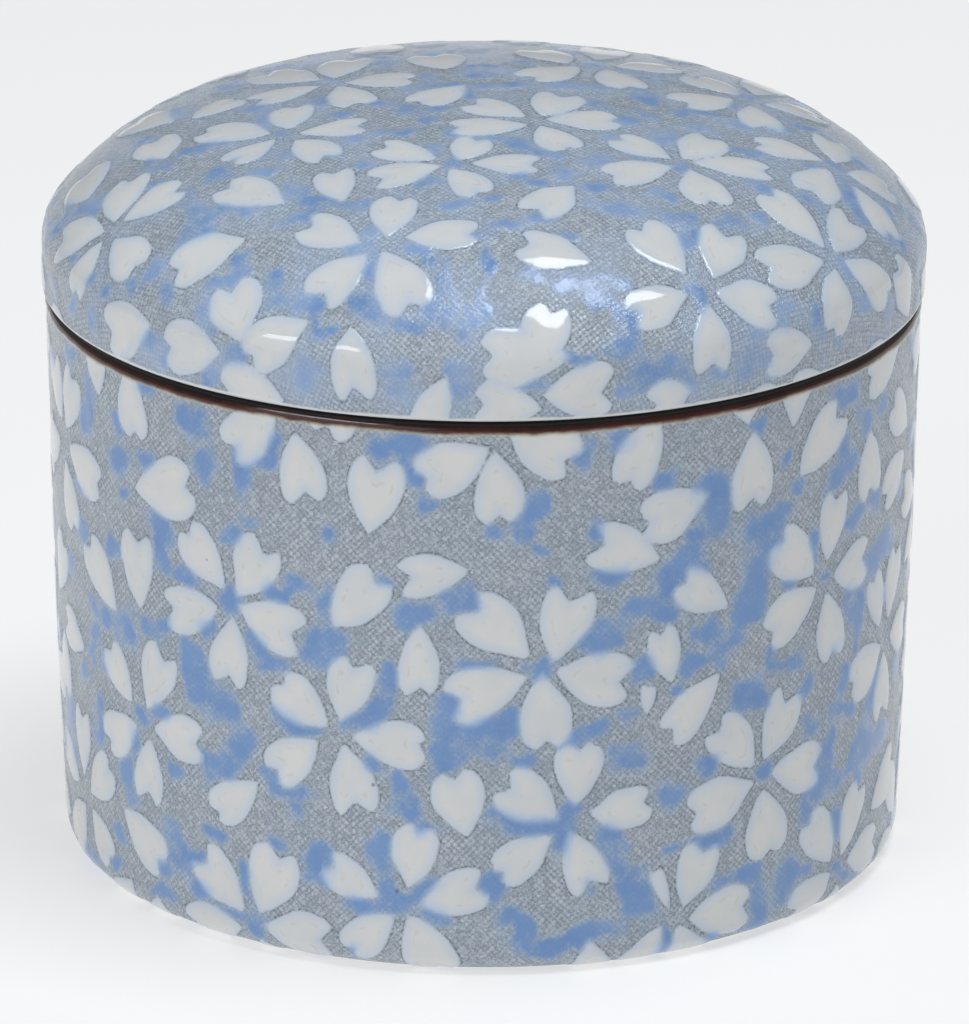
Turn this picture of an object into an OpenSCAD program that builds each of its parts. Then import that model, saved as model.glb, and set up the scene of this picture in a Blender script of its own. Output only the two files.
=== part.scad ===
// A round ceramic jar with a domed lid that lifts off.
// The jar stands on a bare foot ring. The lid rests on the jar's rim, and a flange under
// the lid drops into the mouth and keeps it centred. Units are millimetres, +Z is up,
// and the origin is the middle of the foot, on the surface that the jar stands on.

/* [Jar] */
// Outer diameter of the jar at its rim
rim_d = 88; // [60:0.5:140]
// Outer diameter of the jar just above the foot
base_d = 85; // [58:0.5:136]
// Height of the rim above the table
jar_h = 58; // [35:0.5:120]
// How far the side stands out from a straight line between foot and rim
belly = 0.2; // [0.05:0.05:3]
// Thickness of the side wall
wall = 3.8; // [2.5:0.1:6]
// Thickness of the floor
floor_t = 4.2; // [2.5:0.1:8]
// Rounding of the outer corner between the side and the foot
base_round = 2.6; // [1:0.1:6]
// Rounding of the inner corner between the side and the floor
inner_round = 7; // [2:0.5:12]
// Rounding of the rim's two edges
rim_round = 1.1; // [0.4:0.1:1.2]

/* [Foot] */
// Width of the bare ring that the jar stands on
foot_w = 3.4; // [2:0.1:8]
// Depth of the hollow inside the foot ring
foot_hollow = 1.6; // [0.5:0.1:3]
// Rounding of the foot ring's inner edge
foot_round = 0.5; // [0.2:0.1:1]

/* [Lid] */
// How far the lid's lower edge stands out past the rim
lid_overhang = 0.4; // [0:0.1:3]
// How far the lid's side swells out above its lower edge
lid_swell = 0.1; // [0.05:0.05:2]
// Height of the lid's widest line above the rim
lid_side_h = 5; // [3:0.1:12]
// Rounding where the side turns into the shoulder
corner_r = 4.3; // [2:0.1:10]
// Angle that this rounding turns through before the shoulder takes over
corner_turn = 37.5; // [20:0.5:60]
// Radius of the shoulder's curve
shoulder_r = 24.4; // [15:0.1:30]
// Radius of the crown's curve
crown_r = 120; // [80:1:300]
// Thickness of the lid's shell
lid_wall = 3.8; // [2.5:0.1:5]
// Rounding of the lid's lower edge
edge_round = 1; // [0.4:0.1:2]

/* [Flange under the lid] */
// Gap all round between the flange and the mouth
flange_gap = 0.8; // [0.2:0.1:2]
// Depth of the flange below the rim
flange_h = 6; // [3:0.5:12]
// Thickness of the flange
flange_t = 3.2; // [2:0.1:5]
// Rounding of the flange's lower edges
flange_round = 0.9; // [0.3:0.1:0.9]

/* [Hidden] */

ROUND_FN = 128;      // facets of a preview turn; the solids are true surfaces
FILLET_STEPS = 6;    // points along a small rounding
CURVE_STEPS = 14;    // points along a long curve

// The jar's outline
rim_r = rim_d / 2;
base_r = base_d / 2;
mouth_r = rim_r - wall;
side_lean = atan((rim_r - base_r) / jar_h);
floor_z = foot_hollow + floor_t;
foot_out_r = base_r - base_round;
foot_in_r = foot_out_r - foot_w;

// The lid's outline: three arcs that meet smoothly, each with its centre [radius, height]
lid_edge_r = rim_r + lid_overhang;
lid_wide_r = lid_edge_r + lid_swell;
lid_wide_z = jar_h + lid_side_h;
corner_c = [lid_wide_r - corner_r, lid_wide_z];
shoulder_c = corner_c - (shoulder_r - corner_r) * [cos(corner_turn), sin(corner_turn)];
crown_turn = acos(shoulder_c[0] / (crown_r - shoulder_r));
crown_c = [0, shoulder_c[1] - (crown_r - shoulder_r) * sin(crown_turn)];

// The flange and the hollow above it
flange_out_r = mouth_r - flange_gap;
flange_in_r = flange_out_r - flange_t;
flange_z = jar_h - flange_h;
hollow_turn = acos((flange_in_r - shoulder_c[0]) / (shoulder_r - lid_wall));

// Points on an arc round a centre, from angle a0 to angle a1
function arc(centre, radius, a0, a1, steps) = [
    for (i = [0:steps])
        let (a = a0 + (a1 - a0) * i / steps)
        [centre[0] + radius * cos(a), centre[1] + radius * sin(a)]
];

// Points on a shallow curve from p to q that stands out by bow to the right of p-q,
// without its two end points
function bowed(p, q, bow, steps) = [
    for (i = [1:steps - 1])
        let (t = i / steps, side = [q[1] - p[1], p[0] - q[0]] / norm(q - p))
        p + (q - p) * t + side * bow * 4 * t * (1 - t)
];

// Radius of the jar's inner wall at height z, which leans as the outside does
function inner_r(z) = mouth_r - (jar_h - z) * tan(side_lean);

module jar() {
    corner_z = floor_z + inner_round;
    corner_in_r = inner_r(corner_z) - inner_round;
    color([0.62, 0.68, 0.74])
        rotate_extrude($fn = ROUND_FN)
            polygon(concat(
                [[0, foot_hollow]],
                arc([foot_in_r - foot_round, foot_hollow - foot_round], foot_round, 90, 0, FILLET_STEPS),
                arc([foot_in_r + foot_round, foot_round], foot_round, 180, 270, FILLET_STEPS),
                arc([foot_out_r, base_round], base_round, 270, 360, FILLET_STEPS),
                bowed([base_r, base_round], [rim_r, jar_h - rim_round], belly, CURVE_STEPS),
                arc([rim_r - rim_round, jar_h - rim_round], rim_round, 0, 90, FILLET_STEPS),
                arc([mouth_r + rim_round, jar_h - rim_round], rim_round, 90, 180, FILLET_STEPS),
                arc([corner_in_r, corner_z], inner_round, 0, -90, FILLET_STEPS),
                [[0, floor_z]]
            ));
}

module lid() {
    color([0.66, 0.72, 0.78])
        rotate_extrude($fn = ROUND_FN)
            polygon(concat(
                arc([flange_in_r + flange_round, flange_z + flange_round], flange_round,
                    180, 270, FILLET_STEPS),
                arc([flange_out_r - flange_round, flange_z + flange_round], flange_round,
                    270, 360, FILLET_STEPS),
                [[flange_out_r, jar_h]],
                arc([lid_edge_r - edge_round, jar_h + edge_round], edge_round, 270, 360, FILLET_STEPS),
                arc(corner_c, corner_r, 0, corner_turn, FILLET_STEPS),
                arc(shoulder_c, shoulder_r, corner_turn, crown_turn, CURVE_STEPS),
                arc(crown_c, crown_r, crown_turn, 90, CURVE_STEPS),
                arc(crown_c, crown_r - lid_wall, 90, crown_turn, CURVE_STEPS),
                arc(shoulder_c, shoulder_r - lid_wall, crown_turn, hollow_turn, CURVE_STEPS)
            ));
}

jar();
lid();
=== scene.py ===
"""A glazed ceramic jar with a lift-off domed lid.

Both pieces are turned shapes: an outline is carried once round the upright axis. The print on
them, white petals and soft blue on a silvery screen-printed ground, is laid out here one by one:
each petal by its two ends, and each patch of blue by its middle and its half widths. At every
vertex it gives a distance to the nearest petal's edge and an amount of blue, and these give both
the raised glaze and the masks that the materials read.

Lengths are millimetres and angles are degrees, unless a name or a comment says otherwise.
The meshes, lights and camera are made in metres.
"""

import bpy
import numpy as np
from mathutils import Matrix, Vector


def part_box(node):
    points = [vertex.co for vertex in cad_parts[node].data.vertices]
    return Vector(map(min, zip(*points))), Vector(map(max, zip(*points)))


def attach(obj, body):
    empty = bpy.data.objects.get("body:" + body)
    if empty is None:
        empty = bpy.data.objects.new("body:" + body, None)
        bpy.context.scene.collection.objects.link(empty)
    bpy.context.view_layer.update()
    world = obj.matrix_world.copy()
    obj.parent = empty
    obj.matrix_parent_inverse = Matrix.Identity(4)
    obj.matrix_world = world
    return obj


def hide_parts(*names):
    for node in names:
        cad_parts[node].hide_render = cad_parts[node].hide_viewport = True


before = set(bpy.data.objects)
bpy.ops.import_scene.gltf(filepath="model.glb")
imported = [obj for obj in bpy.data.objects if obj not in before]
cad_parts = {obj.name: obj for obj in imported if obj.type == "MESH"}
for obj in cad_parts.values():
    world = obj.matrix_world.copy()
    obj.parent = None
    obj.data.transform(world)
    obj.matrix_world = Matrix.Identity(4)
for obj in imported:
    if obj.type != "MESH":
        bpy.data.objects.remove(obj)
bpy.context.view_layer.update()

MM = 0.001
PER_MM = 1 / MM  # texture scale that gives one feature a millimetre on Object coordinates


# ---------------------------------------------------------------- sizes from the frame

jar_low, jar_high = (np.array(corner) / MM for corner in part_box("jar"))
lid_low, lid_high = (np.array(corner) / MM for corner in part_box("lid"))

RIM_R = jar_high[:2].max()
JAR_H = jar_high[2]
LID_R = lid_high[:2].max()
LID_TOP = lid_high[2]
FLANGE_Z = lid_low[2]

# The jar's outline
SIDE_LEAN = 1.5
BELLY = 0.2
BASE_ROUND = 2.6
RIM_ROUND = 1.1
WALL = 3.8
FLOOR = 4.2
INNER_ROUND = 7.0
FOOT_HOLLOW = 1.6
FOOT_WIDTH = 3.4
FOOT_ROUND = 0.5

# The lid's outline
LID_SWELL = 0.1
LID_SIDE_H = 5.0
CORNER_R = 4.3
CORNER_TURN = 37.5
SHOULDER_R = 24.4
CROWN_R = 120.0
LID_WALL = 3.8
EDGE_ROUND = 1.0
FLANGE_GAP = 0.8
FLANGE_T = 3.2
FLANGE_ROUND = 0.9

# How finely the shapes are divided: steps along an outline, and columns round the axis
FINE = 0.5
COARSE = 1.6
SMALL_ROUND_STEP = 0.25
LAND_STEP = 1.5           # across the foot's bare ring
SEAT_STEP = 1.4           # across the lid's seat on the rim
JAR_COLUMNS = 640
JAR_PLAIN_COLUMNS = 160   # inside and underneath, where nothing is printed
LID_COLUMNS = 720
LID_PLAIN_COLUMNS = 180
CROWN_HALF_R = 24         # within these radii the crown has a half and a quarter of the columns
CROWN_QUARTER_R = 12
CROWN_FROM = 89.8         # the angle of the first ring beside the crown's middle point
HOLLOW_TO = 89            # and of the last one beside the hollow's

# The band just inside the mouth over which the iron coat ends, and how far it leans in
MOUTH_BAND = 1
MOUTH_LEAN = 0.03

# The raised glaze. A pair is where a soft step starts and where it ends.
PETAL_RISE = 0.15
PETAL_SHOULDER = -0.25, 0.3   # distances inside a petal's edge
PILLOW_START = 0.75           # a petal's height just inside its shoulder, as a share
PILLOW_STEP = 0.2, 1.8
BLUE_RISE = 0.07
BLUE_STEP = 0.3, 0.8          # amounts of blue
WOBBLE = 0.05                 # the hand-thrown unevenness of the whole skin
WOBBLE_SIZE = 26

# Material slots of both pieces
PRINTED, WHITE, CLAY = 0, 1, 2


# ---------------------------------------------------------------- outlines

def arc(centre, radius, start, end, step):
    """Points about step apart on a circle round centre, from angle start to angle end:
    centre + radius * (cos a, sin a)."""
    count = max(2, int(np.ceil(radius * np.radians(abs(end - start)) / step)))
    a = np.radians(np.linspace(start, end, count + 1))
    return np.asarray(centre) + radius * np.stack([np.cos(a), np.sin(a)], -1)


def straight(start, end, step, bow=0.0):
    """Points about step apart from start to end, which stand out to the right of that line
    by bow * 4 t (1 - t), where t runs from 0 to 1."""
    start, end = np.asarray(start, float), np.asarray(end, float)
    length = np.linalg.norm(end - start)
    t = np.linspace(0, 1, max(1, int(np.ceil(length / step))) + 1)[:, None]
    right = np.array([end[1] - start[1], start[0] - end[0]]) / length
    return start + (end - start) * t + right * bow * 4 * t * (1 - t)


class Outline:
    """An outline of rings [radius, height], each with the number of columns it is divided
    into, the material of the band that leads to it, and whether the print lies on it."""

    def __init__(self):
        self.points, self.columns, self.material, self.printed = [], [], [], []

    def add(self, points, columns, material, printed=False):
        """Adds a stretch. Its first point is dropped where it repeats the last one."""
        if self.points and np.allclose(points[0], self.points[-1], atol=1e-6):
            points = points[1:]
        self.points += list(points)
        count = len(points)
        self.columns += list(columns) if np.ndim(columns) else [columns] * count
        self.material += [material] * count
        self.printed += [printed] * count

    def arrays(self):
        return np.array(self.points), np.array(self.columns), np.array(self.material), \
            np.array(self.printed)


def jar_outline():
    """From the middle of the hollow under the floor, out over the foot, up the side, over the
    rim and down inside to the middle of the floor."""
    base_r = RIM_R - SIDE_LEAN
    foot_out = base_r - BASE_ROUND
    foot_in = foot_out - FOOT_WIDTH
    mouth_r = RIM_R - WALL
    floor_z = FOOT_HOLLOW + FLOOR
    corner_z = floor_z + INNER_ROUND
    corner_r = mouth_r - (JAR_H - corner_z) * SIDE_LEAN / JAR_H - INNER_ROUND
    round_z = JAR_H - RIM_ROUND
    band_end = [mouth_r - MOUTH_LEAN, round_z - MOUTH_BAND]
    all_round, half, few = JAR_COLUMNS, JAR_COLUMNS // 2, JAR_PLAIN_COLUMNS
    o = Outline()
    o.add([[0, FOOT_HOLLOW]], 1, WHITE)
    o.add(straight([COARSE, FOOT_HOLLOW], [foot_in - FOOT_ROUND, FOOT_HOLLOW], 3 * COARSE),
          few, WHITE)
    o.add(arc([foot_in - FOOT_ROUND, FOOT_HOLLOW - FOOT_ROUND], FOOT_ROUND, 90, 0,
              SMALL_ROUND_STEP), few, WHITE)
    o.add(arc([foot_in + FOOT_ROUND, FOOT_ROUND], FOOT_ROUND, 180, 270, SMALL_ROUND_STEP),
          few, CLAY)
    o.add(straight([foot_in + FOOT_ROUND, 0], [foot_out, 0], LAND_STEP), [half, all_round], CLAY)
    o.add(arc([foot_out, BASE_ROUND], BASE_ROUND, 270, 360, FINE), all_round, PRINTED, True)
    o.add(straight([base_r, BASE_ROUND], [RIM_R, round_z], FINE, BELLY), all_round, PRINTED, True)
    o.add(arc([RIM_R - RIM_ROUND, round_z], RIM_ROUND, 0, 90, SMALL_ROUND_STEP),
          all_round, PRINTED, True)
    o.add(arc([mouth_r + RIM_ROUND, round_z], RIM_ROUND, 90, 180, SMALL_ROUND_STEP),
          all_round, PRINTED)
    o.add(straight([mouth_r, round_z], band_end, MOUTH_BAND / 2), [half, few], PRINTED)
    o.add(straight(band_end, [corner_r + INNER_ROUND, corner_z], COARSE), few, WHITE)
    o.add(arc([corner_r, corner_z], INNER_ROUND, 0, -90, COARSE / 2), few, WHITE)
    o.add(straight([corner_r, floor_z], [COARSE, floor_z], 2 * COARSE), few, WHITE)
    o.add([[0, floor_z]], 1, WHITE)
    return o


def lid_outline():
    """From the middle of the crown, down over the shoulder and the side, under the edge to the
    flange, and back up inside to the middle of the hollow."""
    wide_z = JAR_H + LID_SIDE_H
    corner_c = np.array([LID_R - CORNER_R, wide_z])
    turn = np.radians(CORNER_TURN)
    shoulder_c = corner_c - (SHOULDER_R - CORNER_R) * np.array([np.cos(turn), np.sin(turn)])
    crown_turn = np.degrees(np.arccos(shoulder_c[0] / (CROWN_R - SHOULDER_R)))
    crown_c = np.array([0, LID_TOP - CROWN_R])
    edge_r = LID_R - LID_SWELL
    flange_out = RIM_R - WALL - FLANGE_GAP
    flange_in = flange_out - FLANGE_T
    hollow_turn = np.degrees(np.arccos((flange_in - shoulder_c[0]) / (SHOULDER_R - LID_WALL)))
    inside = [arc([flange_in + FLANGE_ROUND, FLANGE_Z + FLANGE_ROUND], FLANGE_ROUND, 270, 180,
                  SMALL_ROUND_STEP),
              arc(shoulder_c, SHOULDER_R - LID_WALL, hollow_turn, crown_turn, COARSE),
              arc(crown_c, CROWN_R - LID_WALL, crown_turn, HOLLOW_TO, 2 * COARSE)]
    all_round, half, few = LID_COLUMNS, LID_COLUMNS // 2, LID_PLAIN_COLUMNS
    o = Outline()
    o.add([[0, LID_TOP]], 1, PRINTED, True)
    crown = arc(crown_c, CROWN_R, CROWN_FROM, crown_turn, FINE)
    crown_columns = np.where(crown[:, 0] < CROWN_HALF_R, half, all_round)
    crown_columns[crown[:, 0] < CROWN_QUARTER_R] = LID_COLUMNS // 4
    o.add(crown, crown_columns, PRINTED, True)
    o.add(arc(shoulder_c, SHOULDER_R, crown_turn, CORNER_TURN, FINE), all_round, PRINTED, True)
    o.add(arc(corner_c, CORNER_R, CORNER_TURN, 0, FINE), all_round, PRINTED, True)
    o.add(straight([LID_R, wide_z], [edge_r, JAR_H + EDGE_ROUND], FINE), all_round, PRINTED, True)
    o.add(arc([edge_r - EDGE_ROUND, JAR_H + EDGE_ROUND], EDGE_ROUND, 0, -90, SMALL_ROUND_STEP),
          all_round, PRINTED, True)
    o.add(straight([edge_r - EDGE_ROUND, JAR_H], [flange_out, JAR_H], SEAT_STEP),
          [all_round, half, few], WHITE)
    o.add(straight([flange_out, JAR_H], [flange_out, FLANGE_Z + FLANGE_ROUND], COARSE),
          few, WHITE)
    o.add(arc([flange_out - FLANGE_ROUND, FLANGE_Z + FLANGE_ROUND], FLANGE_ROUND, 0, -90,
              SMALL_ROUND_STEP), few, CLAY)
    o.add(inside[0], few, CLAY)
    o.add(straight(inside[0][-1], inside[1][0], COARSE), few, WHITE)
    o.add(inside[1], few, WHITE)
    o.add(inside[2], few, WHITE)
    o.add([[0, LID_TOP - LID_WALL]], 1, WHITE)
    return o


# ---------------------------------------------------------------- the print's layout

# On the jar a place is [round, height]: round is the length along the skin from the front,
# to the right. On the lid it is [right, back] on the skin laid out flat from the crown.
# A petal is given by its pointed end and the middle of its notched tip, and sometimes by
# how wide it is for its length. A patch of blue has a place, a half width and a half height.

def blossom(x, y, reach, turn):
    """Five equal petals round a middle, the first at angle turn."""
    a = np.radians(turn + 72 * np.arange(5))
    ray = np.stack([np.cos(a), np.sin(a)], -1)
    return [(*start, *tip) for start, tip in zip([x, y] + 1.5 * ray, [x, y] + reach * ray)]


JAR_PETALS = [
    # the upper half, from the left
    (-45.3, 53.1, -46, 60.5, 0.9), (-39.6, 58.6, -38.7, 50.4, 0.85), (-39, 45.3, -30.3, 47.9, 1),
    (-54, 47, -51.2, 54, 0.95), (-53.2, 45.3, -45.3, 43.6, 0.95), (-54.6, 43.6, -52.4, 36.6, 1),
    (-55.6, 47.2, -58.8, 53.5, 1), (-56.4, 45, -63, 43, 1), (-42.8, 31.2, -48.9, 37.2, 0.9),
    (-38.7, 32.8, -38.9, 41.3, 0.95), (-60, 28, -56.5, 34.8, 1),
    (-26.9, 37.9, -31.8, 43.3, 1), (-25.3, 37.4, -21.8, 44, 1), (-25.1, 36.4, -17.6, 34.2, 1),
    (-25.8, 35.1, -26.8, 27.6, 0.95), (-27.6, 35.9, -34.9, 33.7, 1),
    (-20.6, 57.4, -26.1, 52.2, 1), (-18.7, 55.7, -17.3, 48.2, 1), (-11.2, 46, -9.8, 54.3, 0.95),
    (0.7, 55.6, -6.3, 52, 1), (-13, 62.5, -15.5, 55.5, 1), (-14.8, 35.9, -9.9, 42.2, 0.95),
    (-1.1, 42.8, -8.4, 41.4, 0.9), (-6.1, 37.1, -6.4, 29.5, 0.82),
    (1.2, 55.2, 1.7, 47.6, 0.95), (2.2, 57.6, 9, 53.5, 1.05), (17.4, 58, 14, 50.4, 0.85),
    (22.7, 48.8, 15.6, 46.6, 1.1), (17.7, 42.6, 10.3, 45.4, 1), (25.5, 36.5, 19.7, 40.5, 0.9),
    (28, 54.2, 27.8, 46, 0.95), (19.2, 29.7, 17.8, 35.9, 0.8), (16.7, 26.7, 16.7, 30, 0.8),
    (24.6, 29.7, 18.8, 23.6, 0.8), (27.2, 55, 26.8, 62, 1),
    (6.9, 33.1, 9.2, 41, 0.95), (4.6, 33.7, -1.7, 39.6, 0.95), (7.2, 32.3, 15.1, 30.3, 1),
    (5.9, 31.9, 6.6, 23.9, 1), (4.6, 31.7, -3.6, 28.6, 0.95),
    (33, 53.6, 33.8, 61, 0.9), (34.2, 48.1, 40.8, 53.7, 0.95), (38.8, 38.1, 40.3, 45.6, 0.9),
    (40, 36.2, 47, 36.4, 1.05), (39, 34.9, 40.8, 27.2, 0.9), (37.5, 35.7, 30.3, 32.3, 1),
    (36.8, 37.2, 31.2, 42.5, 1.05), (45.9, 49.7, 46.6, 42.4, 1), (56.4, 44.4, 49.7, 41.2, 1),
    (57.2, 46.8, 51, 51, 0.95), (53, 56.6, 45.2, 54.9, 0.95), (50.4, 27.6, 47.9, 33.8, 0.95),
    (52.8, 27.6, 55, 35, 0.9),
    # the lower half, from the left
    (-38, 22.5, -34.9, 29.7, 0.95), (-37.1, 20.7, -29.6, 20.8, 0.95),
    (-37.6, 19.4, -38.5, 12, 0.95), (-39.8, 20.2, -46.1, 16.7, 1), (-40.5, 22.2, -44.8, 27.4, 1),
    (-50.7, 9.3, -45.2, 14.3, 0.95), (-43, 10.4, -36, 5.9, 0.95), (-52.4, 10.5, -52, 18.6, 0.9),
    (-50.4, 7.8, -46, 3.3, 1.1), (-52.5, 7.5, -57, 1.5, 1), (-54.2, 9.3, -60.5, 12, 1),
    (-41.8, 2.8, -46.5, -3, 1), (-37.5, 2.5, -39, -5, 1), (-50.6, 24.8, -57.4, 26, 1),
    (-58, 24.6, -57.8, 17.2, 0.9),
    (-14.1, 26.2, -12.1, 33, 1), (-15.4, 25.3, -20.9, 29.6, 1), (-12.8, 24.6, -5.3, 23.9, 1),
    (-13.8, 23.9, -12.3, 16.2, 0.95), (-16.4, 23.9, -21.6, 19.2, 1),
    (-23.2, 18.2, -28.9, 13.8, 0.9), (-1.3, 14.8, -2.6, 21.9, 1.05),
    (-7.3, 9.1, -6, 16, 1.05), (-6.1, 7.3, 0.7, 10.2, 1), (-7.3, 6.3, -3.6, -0.8, 1),
    (-8.6, 6.2, -13.7, 1.5, 0.9), (-10.1, 8, -15.9, 11.1, 1),
    (-23.5, 4.2, -20.9, 11.8, 1.05), (-25.3, 4, -31.1, 9.3, 1), (-22.8, 3, -15, 2.2, 1.1),
    (-25.6, 2.2, -33.2, 0.5, 1), (-23.4, 1.2, -22.5, -6, 0.95),
    (9.3, 17.9, 9.8, 24.6, 1.05), (7.7, 16.6, 1.9, 20.9, 1.05), (7, 14.8, 1.6, 10.6, 1),
    (8.7, 15.2, 11.5, 8.3, 0.9), (10.7, 16.8, 17.5, 17.4, 1),
    (21.2, 5.5, 23.5, 12.2, 1.05), (19.6, 5.3, 17.8, 10.3, 0.45), (21.8, 4.2, 29.7, 3.6, 1),
    (18.8, 3.9, 15.6, -2.5, 0.9), (20.6, 3.7, 23.4, -3.6, 0.95), (10.9, 3.4, 12.4, -4, 0.9),
    (30.6, 19.2, 34.2, 26.1, 0.95), (29.4, 18.9, 24, 24.4, 1), (29.3, 17.3, 21.3, 15.1, 1),
    (30.4, 16.1, 31.7, 8.5, 1.1), (31.6, 17.7, 39.1, 16.7, 1.05),
    (42, 5.2, 37.2, 11.2, 0.95), (43.8, 5.2, 47.5, 12.2, 0.95), (42, 3.8, 35.1, 0.9, 1),
    (45, 4.2, 52.6, 4.2, 1), (43.3, 2.4, 44, -5, 0.9), (51.1, 25.4, 43.8, 23.2, 1.1),
    (51.9, 24.5, 52.7, 16.9, 0.95), (53.6, 25.8, 60.8, 24.6, 1), (50.5, 8, 57.9, 11.6, 1),
] + blossom(64.5, 37.5, 8.6, 20) + blossom(69, 17.5, 8.8, 80) + blossom(67, 55, 8.6, 50) \
  + blossom(61.5, 3, 8.6, 55) + [(73.5, 29, 67.5, 25.5), (76, 46.5, 73, 40), (77, 4, 71, 5.5)]

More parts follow.
